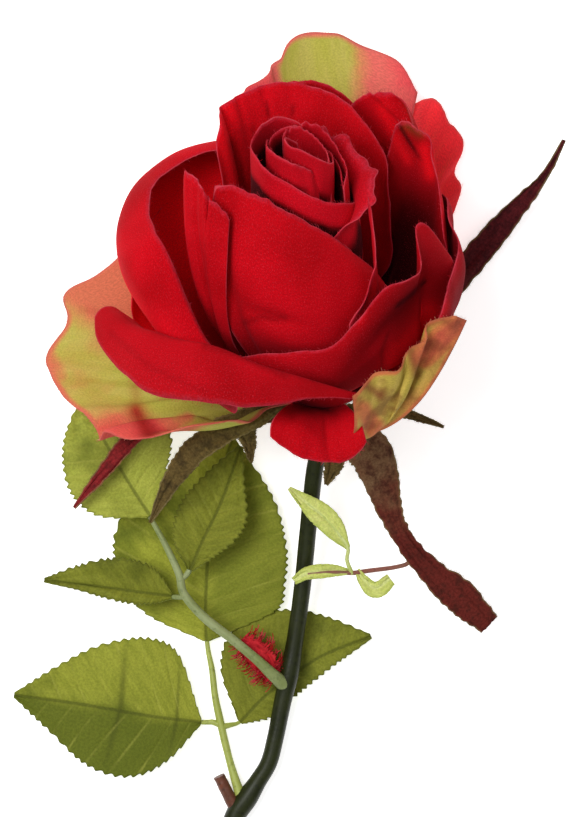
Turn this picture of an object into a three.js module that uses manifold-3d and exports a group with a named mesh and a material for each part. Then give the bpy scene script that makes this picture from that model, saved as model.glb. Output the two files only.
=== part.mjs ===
// Cut rose of fabric petals and leaves on a wire-cored plastic stem, lying on its side. Millimetres, +Z up.
import * as THREE from "three";
import Module from "manifold-3d";

const wasm = await Module();
wasm.setup();
const { Manifold, Mesh: SolidMesh } = wasm;

// The flower is laid out on a plan sheet of 584 by 817 squares, seen straight down from EYE_HEIGHT.
const SQUARE = 0.25;
const SHEET_MIDDLE = [292, 408.5];
const SHEET_HEIGHT = 45;
const EYE_HEIGHT = 1000;
const ORIGIN = [-0.985, -35.85, -0.12];

// Bloom: foot of its axis on the sheet, rise of the axis from the table and lean to the left.
const BLOOM_FOOT = [320, 412, 24];
const BLOOM_RISE = 38;
const BLOOM_LEAN = 8;

const PETAL_THICK = 0.8;
const BLADE_THICK = 0.7;
const SEPAL_THICK = 0.8;
const GAP = 0.3;
const SMOOTHED = 0.1;

const rad = THREE.MathUtils.degToRad;
const clamp = THREE.MathUtils.clamp;

// A point of the plan sheet at height z, in the part's own frame.
function plan(u, v, z) {
  const s = (SQUARE * (EYE_HEIGHT - (z - SHEET_HEIGHT))) / EYE_HEIGHT;
  return new THREE.Vector3(
    (u - SHEET_MIDDLE[0]) * s - ORIGIN[0],
    (SHEET_MIDDLE[1] - v) * s - ORIGIN[1],
    z - ORIGIN[2],
  );
}

const FOOT = plan(...BLOOM_FOOT);
const AXIS = new THREE.Vector3(
  -Math.sin(rad(BLOOM_LEAN)) * Math.cos(rad(BLOOM_RISE)),
  Math.cos(rad(BLOOM_LEAN)) * Math.cos(rad(BLOOM_RISE)),
  Math.sin(rad(BLOOM_RISE)),
);
const SIDE = new THREE.Vector3(Math.cos(rad(BLOOM_LEAN)), Math.sin(rad(BLOOM_LEAN)), 0);
const FRONT = new THREE.Vector3().crossVectors(SIDE, AXIS);

// A point at radius r, bearing (degrees, 0 at the front, 90 at the right) and height h of the bloom's axis.
function bloomPoint(r, bearing, h) {
  const b = rad(bearing);
  return FOOT.clone()
    .addScaledVector(SIDE, r * Math.sin(b))
    .addScaledVector(FRONT, r * Math.cos(b))
    .addScaledVector(AXIS, h);
}

function smooth(x) {
  const t = clamp(x, 0, 1);
  return t * t * (3 - 2 * t);
}

// Smooth curve through evenly spaced values, t from 0 to 1.
function through(values, t) {
  const n = values.length - 1;
  const x = clamp(t, 0, 1) * n;
  const i = Math.min(Math.floor(x), n - 1);
  const f = x - i;
  const b = values[i];
  const c = values[i + 1];
  const a = i > 0 ? values[i - 1] : 2 * b - c;
  const d = i < n - 1 ? values[i + 2] : 2 * c - b;
  return b + 0.5 * f * (c - a + f * (2 * a - 5 * b + 4 * c - d + f * (3 * (b - c) + d - a)));
}

function throughPoints(points, t) {
  return new THREE.Vector3(
    through(points.map((p) => p.x), t),
    through(points.map((p) => p.y), t),
    through(points.map((p) => p.z), t),
  );
}

// Unit vector along the smooth curve at t.
function direction(points, t) {
  const ahead = throughPoints(points, Math.min(t + 1e-3, 1));
  return ahead.sub(throughPoints(points, Math.max(t - 1e-3, 0))).normalize();
}

// Solid between two grids of points, given as rows of equal length: outer face, inner face and the rim.
function slab(outer, inner) {
  const rows = outer.length;
  const cols = outer[0].length;
  const verts = [];
  for (const p of [...outer.flat(), ...inner.flat()]) verts.push(p.x, p.y, p.z);
  const at = (side, i, j) => side * rows * cols + i * cols + j;
  const tris = [];
  for (let i = 0; i < rows - 1; i++) {
    for (let j = 0; j < cols - 1; j++) {
      const cut = (i + j) % 2;
      for (const side of [0, 1]) {
        const q = [at(side, i, j), at(side, i + 1, j), at(side, i + 1, j + 1), at(side, i, j + 1)];
        const pair = cut ? [[0, 1, 2], [0, 2, 3]] : [[0, 1, 3], [1, 2, 3]];
        for (const [a, b, c] of pair) {
          tris.push(...(side ? [q[a], q[c], q[b]] : [q[a], q[b], q[c]]));
        }
      }
    }
  }
  const loop = [];
  for (let i = 0; i < rows - 1; i++) loop.push([i, 0]);
  for (let j = 0; j < cols - 1; j++) loop.push([rows - 1, j]);
  for (let i = rows - 1; i > 0; i--) loop.push([i, cols - 1]);
  for (let j = cols - 1; j > 0; j--) loop.push([0, j]);
  loop.forEach(([i, j], k) => {
    const [m, n] = loop[(k + 1) % loop.length];
    tris.push(at(0, i, j), at(1, m, n), at(0, m, n), at(0, i, j), at(1, i, j), at(1, m, n));
  });
  return toSolid(verts, tris);
}

function closedSolid(verts, tris) {
  const vertProperties = new Float32Array(verts);
  return new Manifold(new SolidMesh({ numProp: 3, vertProperties, triVerts: new Uint32Array(tris) }));
}

// Closed solid of the triangles, turned to face out.
function toSolid(verts, tris) {
  const made = closedSolid(verts, tris);
  if (made.volume() > 0) return made;
  const turned = [];
  for (let i = 0; i < tris.length; i += 3) turned.push(tris[i], tris[i + 2], tris[i + 1]);
  return closedSolid(verts, turned);
}

// Skin of even thickness about a surface point(a, b), a and b from 0 to 1, its edges moved out by margin.
function skin(point, thick, rows, cols, margin = 0) {
  const outer = [];
  const inner = [];
  const e = 1e-3;
  for (let i = 0; i <= rows; i++) {
    outer.push([]);
    inner.push([]);
    for (let j = 0; j <= cols; j++) {
      const a = i / rows;
      const b = j / cols;
      const da = point(Math.min(a + e, 1), b).sub(point(Math.max(a - e, 0), b));
      const db = point(a, Math.min(b + e, 1)).sub(point(a, Math.max(b - e, 0)));
      const n = new THREE.Vector3().crossVectors(da, db).normalize();
      const p = point(a, b)
        .addScaledVector(da.normalize(), margin * (i === rows ? 1 : i === 0 ? -1 : 0))
        .addScaledVector(db.normalize(), margin * (j === cols ? 1 : j === 0 ? -1 : 0));
      outer[i].push(p.clone().addScaledVector(n, thick / 2));
      inner[i].push(p.clone().addScaledVector(n, -thick / 2));
    }
  }
  return slab(outer, inner);
}

// Petal of the bloom. rim: [bearing, radius, height] from one side edge to the other; hip and shoulder:
// [radius, height] of the curve between root and rim; lips: outward roll of the rim; wave: [depth, cycles,
// phase]; crest: height added to the shoulder along the petal; foot: bearing that the petal narrows toward;
// waist and open: share of the spread at the root, and how fast it opens; rows: facets along the rim.
function petalSurface(p) {
  const rim = [0, 1, 2].map((k) => p.rim.map((s) => s[k]));
  const foot = p.foot ?? (rim[0][0] + rim[0][rim[0].length - 1]) / 2;
  const rMid = through(rim[1], 0.5);
  const hMid = through(rim[2], 0.5);
  const root = p.root ?? [6, 6];
  const waist = p.waist ?? 0.5;
  const lips = p.lips ?? [0, 0];
  const lipFrom = p.lipFrom ?? 0.7;
  const wave = p.wave ?? [0, 3, 0];
  const crest = p.crest ?? [0, 0];
  const corner = p.corner ?? 0.12;
  const dip = p.dip ?? 0.3;
  const open = p.open ?? 1.5;
  const shift = p.shift ?? [0, 0];
  return (a, b) => {
    const u = 2 * a - 1;
    const v = b * (1 - corner * Math.abs(u) ** 6);
    const rRim = through(rim[1], a);
    const hRim = through(rim[2], a);
    const r1 = p.hip[0] + 0.2 * (rRim - rMid);
    const h1 = p.hip[1] + 0.2 * (hRim - hMid);
    const r2 = p.shoulder[0] + 0.6 * (rRim - rMid);
    const h2 = p.shoulder[1] + 0.6 * (hRim - hMid) + through(crest, a);
    const k = [(1 - v) ** 3, 3 * v * (1 - v) ** 2, 3 * v * v * (1 - v), v ** 3];
    let r = k[0] * root[0] + k[1] * r1 + k[2] * r2 + k[3] * rRim;
    let h = k[0] * root[1] + k[1] * h1 + k[2] * h2 + k[3] * hRim;
    const s = clamp((v - lipFrom) / (1 - lipFrom), 0, 1);
    const lip = through(lips, a);
    r += lip * s ** 1.6 + wave[0] * Math.sin(Math.PI * wave[1] * u + wave[2]) * v ** 4;
    h -= dip * Math.abs(lip) * s ** 3;
    const bearing = foot + (through(rim[0], a) - foot) * (waist + (1 - waist) * smooth(open * v));
    return bloomPoint(r, bearing, h)
      .addScaledVector(SIDE, shift[0] * smooth(v))
      .addScaledVector(FRONT, shift[1] * smooth(v));
  };
}

const GUARDS = [
  { rim: [[194, 56, 55], [189, 58, 60.7], [185.8, 60, 62.3], [181, 63, 62.4], [179.5, 66.5, 63.4],
    [176.7, 69, 64], [174.7, 72.5, 66.5], [171, 76.5, 66], [166.5, 77, 65], [161, 76, 61], [154, 76, 58.5],
    [149.7, 74, 52]],
    hip: [34, 12], shoulder: [60, 46], root: [5, 6], wave: [0.6, 4, 0], corner: 0.03, rows: 12 },
  { rim: [[152, 73, 48], [147, 75, 48.5], [143.5, 75, 43], [140.5, 72, 36], [138.5, 66.5, 29.5],
    [135, 60, 25]],
    hip: [30, 12], shoulder: [56, 33], root: [5, 6], wave: [1, 3, 1], corner: 0.04, rows: 8 },
  { rim: [[10, 45, 40], [20.4, 45, 42.5], [28.8, 45.5, 42.5], [34.5, 46, 47], [39.2, 47.5, 50],
    [44.4, 49, 52.5], [49.6, 52, 49.5]],
    hip: [40, 9], shoulder: [45, 31], root: [5, 6], wave: [0.8, 4, 0], corner: 0.02, waist: 0.1,
    open: 0.84, foot: 9, rows: 10 },
  { rim: [[-118, 50, 43], [-117, 59, 34], [-115, 66, 28], [-112, 66.5, 22.5], [-109, 68, 18.5],
    [-105, 70, 14.5], [-100, 68.5, 12.5], [-95, 62, 9.5], [-90, 59, 9], [-84, 57, 7.7], [-77, 54, 9.5],
    [-70, 48, 12], [-62, 38, 16], [-54, 30, 17]],
    hip: [24, 5], shoulder: [48, 12], root: [5, 6], wave: [1, 5, 0], corner: 0.02, rows: 14 },
  { rim: [[-172, 54, 32], [-160, 62, 36], [-148, 63, 34], [-138, 54, 30]],
    hip: [28, 10], shoulder: [48, 26], root: [5, 6], rows: 6 },
];
const OUTER = [
  { rim: [[-77, 53, 47], [-66, 54, 42], [-51, 52, 38.5], [-34, 49.5, 40], [-17, 47, 39.5], [0, 44, 38.7],
    [14, 43, 34]],
    hip: [40, 26], shoulder: [45, 68], root: [6, 10], waist: 0.65, corner: 0.03,
    crest: [-12, 1, 12, 13, -1, -17, -24], rows: 9 },
  { rim: [[-17.5, 44, 26.6], [-12, 44, 24.4], [-3, 44, 19.8], [4, 44, 17.9], [10.5, 44, 20.8]],
    hip: [24, 20], shoulder: [42, 34], root: [6, 10], waist: 0.45, open: 0.9, foot: 4, corner: 0.02,
    rows: 5 },
  { rim: [[22, 43, 38], [42, 42.5, 45.5], [60, 39, 49], [76, 38, 48.5], [90, 37.5, 50], [101, 38, 52.5],
    [111, 39, 52.5], [119, 40, 51]],
    hip: [29, 17], shoulder: [45, 38], root: [6, 10], lips: [1, 1, 1.2, 1.2, 1.2, 1, 1, 0.5],
    corner: 0.04, rows: 9 },
  { rim: [[198, 40, 66], [180, 40.5, 73], [169, 41, 74.5], [157, 42, 70], [147, 43, 60]],
    hip: [30, 16], shoulder: [52, 46], root: [6, 10] },
  { rim: [[-178, 42, 52], [-155, 41.5, 53], [-130, 42, 51], [-112, 42, 48], [-96, 42, 42]],
    hip: [30, 16], shoulder: [50, 34], root: [6, 10] },
];
const MIDDLE = [
  { rim: [[-185, 30, 58], [-168, 30, 62], [-150, 31, 64.5], [-134, 33, 66.7], [-117, 34.5, 68.6],
    [-100, 34.5, 70], [-82, 34.5, 69], [-64, 34.5, 66], [-46, 34, 50], [-28, 33, 42.5]],
    hip: [30, 22], shoulder: [60, 68], root: [6, 13.5], waist: 0.6,
    crest: [0, 4, 6, 4, 1, -1, -2, -4, -6, -10], rows: 12 },
  { rim: [[-50, 31, 38], [-27, 31, 43], [-6, 31, 44], [8, 31.5, 45], [21, 32, 51], [33, 33, 58],
    [46, 34, 57], [56, 33.5, 56], [61, 33, 64.5], [67, 35, 63], [76, 38, 52]],
    hip: [24, 24], shoulder: [42, 38], root: [6, 13.5], lips: [0, 0, 0, 0.5, 1, 1.5, 1.5, 1, 0, 0, 0],
    waist: 0.6, corner: 0.04, rows: 12 },
  { rim: [[112, 35, 52], [121, 38, 60], [129, 41, 69.5], [137, 41.5, 72], [145, 40, 72.5], [152, 39, 69],
    [162, 36.5, 64]],
    hip: [30, 22], shoulder: [48, 46], root: [6, 13.5], lips: [0.5, 1, 1, 1, 1, 1, 0.5], corner: 0.05,
    rows: 8 },
  { rim: [[92, 35.5, 50], [102, 37, 58], [106.5, 37.5, 66], [109, 37, 71.5], [115, 36, 73.6],
    [122.5, 34, 72.7], [128, 33, 64], [136, 33, 56]],
    hip: [28, 20], shoulder: [41, 42], root: [6, 13.5], corner: 0.03, rows: 8 },
];
const INNER = [
  { rim: [[-54, 18.5, 80], [-30, 18, 82.5], [0, 18, 76], [28, 18.5, 64], [56, 21, 49]],
    hip: [28, 24], shoulder: [32, 48], root: [6, 17], waist: 0.75 },
  { rim: [[-72, 26, 86.5], [-60, 26, 87], [-48, 24.5, 84], [-36, 21, 81]],
    hip: [26, 24], shoulder: [30, 54], root: [6, 17], waist: 0.4, foot: -42, rows: 5 },
  { rim: [[236, 11.5, 87.5], [216, 14, 86.3], [197, 17.5, 84.8], [178, 19, 84.8], [161, 19.5, 82.4],
    [145, 21, 78], [129, 24, 66.9], [118, 24, 59.5]],
    hip: [28, 24], shoulder: [28, 54], root: [6, 17], lips: [8.5, 10, 11, 12, 11.5, 10, 8, 5],
    lipFrom: 0.74, rows: 10 },
  { rim: [[19, 30, 50], [27, 29, 52], [35, 28, 56], [44, 27, 59], [50, 26, 63], [52, 25, 68],
    [58, 24, 75]],
    hip: [24, 22], shoulder: [30, 46], root: [6, 17], waist: 0.8, lips: [1, 1.5, 1.5, 1.5, 1.5, 1.5, 1.5],
    lipFrom: 0.9, rows: 7 },
];
const HEART = [
  { rim: [[-170, 3.5, 83], [-90, 4, 85.5], [-44, 4.5, 85], [0, 4.5, 84.5], [45, 4.5, 83], [100, 4, 81],
    [140, 4, 81]],
    hip: [4, 44], shoulder: [5, 70], root: [3, 21], waist: 0.9, shift: [4, 1] },
  { rim: [[-110, 8, 86], [-63, 8.5, 85.5], [-39, 8.5, 85], [-12, 8.5, 83.4], [12, 8.5, 81], [40, 8.5, 77],
    [78, 8.5, 74]],
    hip: [10, 36], shoulder: [10, 64], root: [4, 21], waist: 0.9, shift: [4, 1] },
  { rim: [[75, 8.5, 75], [105, 8.5, 76], [136, 8.5, 78], [156, 8.5, 81.5], [176, 8.5, 84], [200, 8.5, 85],
    [225, 8.5, 85], [250, 8, 86]],
    hip: [10, 36], shoulder: [10, 64], root: [4, 21], waist: 0.9, shift: [4, 1] },
  { rim: [[-95, 12, 86], [-70, 12, 83.5], [-47, 12, 82.2], [-30, 12, 81], [-11, 12, 78.5], [9, 12, 75.2],
    [30, 12, 71.7], [50, 12.3, 70.5], [75, 12, 68]],
    hip: [14, 36], shoulder: [14, 60], root: [5, 21], waist: 0.9, shift: [4, 1] },
  { rim: [[5, 12.5, 64.5], [30, 12.7, 67], [55, 12.5, 71.5], [80, 12, 73.5], [105, 11.7, 74],
    [130, 11.5, 76.5], [150, 11.2, 80.5], [168, 11, 83.5]],
    hip: [16, 34], shoulder: [15, 56], root: [5, 21], lips: [1, 3, 7.5, 8, 7.5, 7, 6, 4.5], lipFrom: 0.86,
    dip: 0.35, waist: 0.85, shift: [3, 1] },
];

// Round bar through points of the plan sheet; radii run evenly from its start to its end.
function bar(points, radii, steps, sides = 10) {
  const rings = [];
  let across = null;
  for (let i = 0; i <= steps; i++) {
    const t = i / steps;
    const p = throughPoints(points, t);
    const along = direction(points, t);
    if (!across) across = new THREE.Vector3(0, 0, 1);
    across = across.clone().addScaledVector(along, -across.dot(along)).normalize();
    const over = new THREE.Vector3().crossVectors(along, across);
    const r = through(radii, t);
    const ring = [];
    for (let k = 0; k < sides; k++) {
      const a = (2 * Math.PI * k) / sides;
      ring.push(p.clone().addScaledVector(across, r * Math.cos(a)).addScaledVector(over, r * Math.sin(a)));
    }
    rings.push(ring);
  }
  const verts = [];
  for (const q of rings.flat()) verts.push(q.x, q.y, q.z);
  const tris = [];
  for (let i = 0; i < steps; i++) {
    for (let k = 0; k < sides; k++) {
      const n = (k + 1) % sides;
      const [a, b, c, d] = [i * sides + k, i * sides + n, (i + 1) * sides + n, (i + 1) * sides + k];
      tris.push(a, b, c, a, c, d);
    }
  }
  const last = steps * sides;
  for (let k = 1; k < sides - 1; k++) tris.push(0, k + 1, k, last, last + k, last + k + 1);
  return toSolid(verts, tris);
}

// Blade along a midrib. left and right: half widths from base to tip; fold: rise of the sides off the midrib;
// droop: fall of the sides, growing outward; teeth: [count, depth] along each side.
function bladeSurface(b) {
  const mid = b.mid.map((m) => plan(...m));
  const up = new THREE.Vector3(0, 0, 1);
  return (a, c) => {
    const x = 2 * c - 1;
    const p = throughPoints(mid, a);
    const along = direction(mid, a);
    const side = new THREE.Vector3().crossVectors(along, up).normalize();
    const top = new THREE.Vector3().crossVectors(side, along).normalize();
    const w = through(x < 0 ? b.left : b.right, a);
    let off = x * w;
    if (b.teeth && Math.abs(x) > 0.99) {
      const f = (a * b.teeth[0]) % 1;
      off += Math.sign(x) * b.teeth[1] * Math.min(1, w / 4) * (f < 0.001 || f > 0.999 ? -1 : 1);
    }
    const wave = (b.wave ?? 0) * Math.sin(5 * Math.PI * a + (x < 0 ? 0 : 1.3)) * x * x;
    const lift = (b.fold ?? 0) * Math.abs(off) - (b.droop ?? 0) * off * off + wave;
    return p.addScaledVector(side, off).addScaledVector(top, lift);
  };
}

const LEAFLETS = {
  upper_leaf_tip_leaflet: { mid: [[150, 516, 13], [126, 478, 14], [104, 440, 15], [82, 398, 14]],
    left: [0.8, 11, 14, 13, 9, 0.7], right: [0.8, 9, 15, 16, 11, 0.7], fold: 0.12, droop: 0.004 },
  upper_leaf_left_leaflet: { mid: [[172, 596, 11], [140, 592, 11.5], [95, 586, 11], [44, 580, 8]],
    left: [0.8, 2.6, 3.2, 2.6, 1.4, 0.5], right: [0.8, 6, 8, 7.5, 4.5, 0.5], fold: 0.3, droop: 0 },
  upper_leaf_right_leaflet: { mid: [[190, 570, 13], [203, 540, 13.5], [222, 500, 13], [241, 446, 11]],
    left: [0.8, 6.5, 9, 9, 6, 0.6], right: [0.8, 4, 7, 8, 4, 0.6], fold: 0.15, droop: 0 },
  lower_leaf_tip_leaflet: { mid: [[206, 641, 2.6], [206, 590, 3.4], [212, 520, 4], [232, 437, 3]],
    left: [0.8, 16, 23, 24, 14, 0.7], right: [0.8, 18, 20.5, 20, 15, 0.7], fold: 0.05, droop: 0.001 },
  lower_leaf_left_leaflet: { mid: [[201, 722, 3.2], [150, 716, 4.2], [80, 704, 4], [14, 695, 2.6]],
    left: [0.8, 11, 16.5, 15, 8, 0.6], right: [0.8, 16, 19, 16.5, 10.5, 0.6], fold: 0.06, droop: 0 },
  lower_leaf_right_leaflet: { mid: [[240, 722, 2.2], [270, 692, 2.0], [318, 658, 2.2], [371, 636, 2.4]],
    left: [0.8, 13, 19, 16.5, 9, 0.6], right: [0.8, 5, 5, 4.5, 3, 0.6], fold: 0.02, droop: 0 },
};
const TEETH = [12, 0.45];

// Plastic stalks with the ribs that run on under the leaflets: [points, radii].
const UPPER_STALK = [
  [[[286, 686, 6.6], [272, 674, 9.4], [256, 659, 10.8], [232, 639, 11.6], [205, 618, 12],
    [184, 594, 12.2], [179, 574, 12.2], [166, 546, 12.1], [150, 517, 11.9], [126, 478, 12.9],
    [104, 440, 13.9], [90, 413, 13.4]],
    [2, 1.6, 1.3, 1.2, 1.2, 1.1, 1, 0.8, 0.6, 0.5, 0.45, 0.35], 24],
  [[[186, 597, 12.2], [176, 597, 11], [165, 596, 9.9], [130, 591, 10.3], [95, 586, 9.8], [62, 582, 8]],
    [0.7, 0.65, 0.55, 0.5, 0.45, 0.3], 8],
  [[[180, 580, 12.2], [189, 571, 11.9], [203, 540, 12.3], [222, 500, 11.8], [237, 458, 10.4]],
    [0.8, 0.7, 0.5, 0.45, 0.3], 8],
];
const LOWER_STALK = [
  [[[243, 803, 4.2], [236, 782, 3.8], [230, 762, 3.1], [224, 738, 2.5], [220, 720, 2.3], [215, 696, 2.2],
    [212, 670, 1.9], [207, 641, 1.45], [206, 590, 2.25], [212, 520, 2.85], [228, 452, 2.1]],
    [1.6, 1.2, 1, 1, 1, 0.9, 0.8, 0.6, 0.5, 0.45, 0.35], 22],
  [[[223, 726, 2.4], [212, 722, 2.2], [200, 722, 2.05], [150, 716, 3.05], [80, 704, 2.85], [34, 698, 1.9]],
    [0.9, 0.7, 0.6, 0.5, 0.45, 0.35], 10],
  [[[221, 727, 2.4], [230, 725, 1.9], [241, 721, 1.1], [262, 700, 0.95], [310, 668, 1.05], [352, 645, 1.2]],
    [0.9, 0.7, 0.5, 0.5, 0.45, 0.35], 10],
];
const STUB = [[[238, 812, 3.9], [229, 796, 4.6], [219, 776, 5.4]], [1.7, 1.6, 1.5], 4];
const SPRIG_STALK = [
  [[[316, 446, 18.6], [332, 446, 20.5], [354, 462, 23.5], [376, 495, 22.5], [393, 527, 19], [405, 550, 16],
    [409, 562, 15.4], [396, 567, 15.8], [367, 571, 17], [352, 573, 18], [330, 572, 18.6], [308, 574, 18]],
    [0.9, 0.8, 0.7, 0.6, 0.6, 0.6, 0.6, 0.6, 0.6, 0.6, 0.45, 0.35], 28],
  [[[352, 574, 18], [347, 560, 18.8], [347, 545, 19.6], [328, 521, 20.4], [308, 503, 20]],
    [0.6, 0.5, 0.5, 0.4, 0.35], 8],
];
const SPRIG_LEAVES = [
  { mid: [[348, 548, 19.6], [330, 523, 20.6], [308, 504, 20.2], [289, 488, 19]],
    left: [0.6, 2.8, 3, 1.8, 0.4], right: [0.6, 2.6, 3, 1.8, 0.4], fold: 0.15 },
  { mid: [[350, 572, 18.2], [330, 571, 18.8], [308, 573, 18.2], [294, 581, 17]],
    left: [0.6, 1.4, 1.8, 1.5, 0.9], right: [0.6, 1.6, 1.8, 1.5, 0.9], fold: 0.1 },
  { mid: [[357, 570, 17.6], [364, 580, 18.2], [376, 588, 18.4], [390, 578, 18]],
    left: [0.6, 1.2, 1.6, 1.2], right: [0.6, 1.6, 2.6, 2], fold: 0.2 },
];
const STIPULE = { mid: [[276, 680, 6.6], [266, 668, 7.4], [252, 652, 8.4], [241, 640, 9]],
  left: [2.4, 4.6, 4.8, 3], right: [2.4, 5.4, 5.6, 3.4], fold: -0.1 };

// Stem: [u, v, height, radius], from the calyx to the cut end, with a swelling at each leaf.
const STEM_LINE = [
  [321.5, 422.5, 21.93, 2.6], [323.5, 437, 19.1, 2.3], [316, 462, 17, 2.2], [311, 500, 14, 2.2],
  [307, 540, 11.4, 2.2], [302, 590, 9.2, 2.2], [295, 640, 7.6, 2.2], [289, 674, 6.6, 2.5],
  [283, 700, 6, 2.3], [276, 735, 5.4, 2.2], [269, 762, 5, 2.2], [258, 781, 4.6, 2.3],
  [247, 798, 4.2, 2.8], [236, 814, 3.9, 2.7], [226, 840, 3.6, 2.3], [219, 880, 3.2, 2.2],
  [214, 940, 2.8, 2.2], [210, 1000, 2.5, 2.2], [206, 1060, 2.3, 2.2],
];

const SEPALS = [
  { mid: [[312, 413, 24], [283, 405, 30], [250, 420, 33], [215, 436, 33], [188, 458, 30], [168, 488, 26],
      [150, 523, 21]],
    left: [1.5, 2.2, 2.8, 3.4, 3.2, 2.2, 0.4], right: [1.5, 3, 3.4, 3.6, 3.2, 2.2, 0.4], fold: -0.25 },
  { mid: [[326, 416, 24], [350, 432, 30], [372, 455, 32], [384, 490, 29], [398, 530, 24], [425, 565, 19],
      [460, 597, 15], [490, 625, 12]],
    left: [1.5, 5, 5.5, 4.2, 2.6, 3, 4.4, 3], right: [1.5, 5, 5.5, 4.2, 2.6, 3, 4.4, 3], fold: -0.2 },
  { mid: [[328, 412, 22], [360, 412, 22], [395, 411, 22], [420, 418, 21], [444, 427, 20]],
    left: [1.5, 2.4, 1.6, 1, 0.35], right: [1.5, 2.4, 1.6, 1, 0.35], fold: -0.2 },
  { mid: [[322, 410, 23], [348, 388, 15], [395, 345, 8], [455, 280, 4], [505, 222, 6], [543, 178, 10],
      [564, 140, 13]],
    left: [1.5, 3.2, 4, 3.6, 3, 1.2, 0.5], right: [1.5, 3.2, 4, 3.6, 3, 1.2, 0.5], fold: 0.15 },
  { mid: [[308, 412, 21], [250, 414, 21.5], [190, 417, 22], [140, 432, 21.5], [106, 469, 20.5],
      [74, 508, 19]],
    left: [1.5, 3, 2.8, 2.2, 1.9, 0.4], right: [1.5, 3, 2.8, 2.2, 1.9, 0.4], fold: -0.15 },
  { mid: [[243, 421, 32.6], [248, 442, 31.4], [251, 463, 28]],
    left: [3, 2.2, 0.3], right: [3, 1.8, 0.3], fold: -0.1, steps: 4 },
  { mid: [[328, 418, 24], [336, 440, 25], [334, 462, 23.5], [326, 485, 20]],
    left: [1.6, 3, 2.8, 0.5], right: [1.6, 3, 2.6, 0.5], fold: -0.15, steps: 6 },
];

function biggestBody(solid) {
  return solid.decompose().reduce((a, b) => (a.volume() > b.volume() ? a : b));
}

// The biggest body of the joined pieces, less the room its neighbours need.
function fused(list, room = []) {
  const joined = Manifold.union(list);
  const cut = room.length ? joined.subtract(Manifold.union(room)) : joined;
  return biggestBody(biggestBody(cut).simplify(SMOOTHED));
}

const FABRIC = (colour) => new THREE.MeshStandardMaterial({ color: colour, roughness: 0.9 });
const PLASTIC = (colour) => new THREE.MeshStandardMaterial({ color: colour, roughness: 0.5 });

const rose = new THREE.Group();
rose.name = "cut_rose";

function add(name, solid, material) {
  const m = solid.getMesh();
  const verts = new Float32Array(m.numVert * 3);
  for (let i = 0; i < m.numVert; i++) {
    verts.set(m.vertProperties.subarray(i * m.numProp, i * m.numProp + 3), i * 3);
  }
  const geometry = new THREE.BufferGeometry();
  geometry.setAttribute("position", new THREE.BufferAttribute(verts, 3));
  geometry.setIndex(new THREE.BufferAttribute(new Uint32Array(m.triVerts), 1));
  geometry.computeVertexNormals();
  const mesh = new THREE.Mesh(geometry, material);
  mesh.name = name;
  rose.add(mesh);
}

// Disc about the bloom's axis, from height h0 to h1.
function hub(r0, r1, h0, h1) {
  const profile = [[0, h0], [r0, h0], [r1, h1], [0, h1]].map(([x, y]) => new THREE.Vector2(x, y));
  const lathe = new THREE.LatheGeometry(profile, 20);
  const turned = new THREE.Matrix4().makeBasis(SIDE, AXIS, FRONT.clone().negate()).setPosition(FOOT);
  lathe.applyMatrix4(turned);
  const pos = lathe.getAttribute("position");
  const verts = [];
  const seen = new Map();
  const index = [];
  for (let i = 0; i < pos.count; i++) {
    const key = [pos.getX(i), pos.getY(i), pos.getZ(i)].map((x) => x.toFixed(4)).join(" ");
    if (!seen.has(key)) {
      seen.set(key, verts.length / 3);
      verts.push(pos.getX(i), pos.getY(i), pos.getZ(i));
    }
    index.push(seen.get(key));
  }
  const tris = [];
  const raw = lathe.index.array;
  for (let i = 0; i < raw.length; i += 3) {
    const [a, b, c] = [index[raw[i]], index[raw[i + 1]], index[raw[i + 2]]];
    if (a !== b && b !== c && c !== a) tris.push(a, b, c);
  }
  return toSolid(verts, tris);
}

const RED = "#b80f22";
const WHORLS = [
  ["heart_petals", HEART, [7, 7, 18.9, 25], RED, 8, 5],
  ["inner_petals", INNER, [8.5, 9, 15.3, 18.6], RED, 8, 7],
  ["middle_petals", MIDDLE, [8, 8.5, 11.8, 15], RED, 9, 6],
  ["outer_petals", OUTER, [7.5, 8, 8.3, 11.5], RED, 7, 6],
  ["guard_petals", GUARDS, [7, 7.5, 4.6, 8], "#c8b45a", 9, 5],
];
const room = [];
for (const [name, petals, disc, colour, rows, cols] of WHORLS) {
  const petalSkin = (p, thick, margin) => skin(petalSurface(p), thick, p.rows ?? rows, cols, margin);
  add(name, fused([hub(...disc), ...petals.map((p) => petalSkin(p, PETAL_THICK, 0))], room),
    FABRIC(colour));
  const [r0, r1, h0, h1] = disc;
  room.push(hub(r0 + GAP, r1 + GAP, h0 - GAP, h1 + GAP));
  room.push(...petals.map((p) => petalSkin(p, PETAL_THICK + 2 * GAP, GAP)));
}

function bars(list, grow = 0) {
  return list.map(([points, radii, steps]) =>
    bar(points.map((p) => plan(...p)), radii.map((r) => r + grow), steps, 6));
}
const stemPoints = STEM_LINE.map((p) => plan(p[0], p[1], p[2]));
const stemRadii = STEM_LINE.map((p) => p[3]);
const stem = bar(stemPoints, stemRadii, 36, 10);
const stemRoom = bar(stemPoints, stemRadii.map((r) => r + GAP), 36, 10);

const calyxPieces = SEPALS.map((sepal) => skin(bladeSurface(sepal), SEPAL_THICK, sepal.steps ?? 9, 2));
add("calyx", fused([hub(3.4, 7, -3, 4.3), ...calyxPieces], [...room, stemRoom]), FABRIC("#6b5a2e"));
add("stem", stem, PLASTIC("#27381a"));

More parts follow.
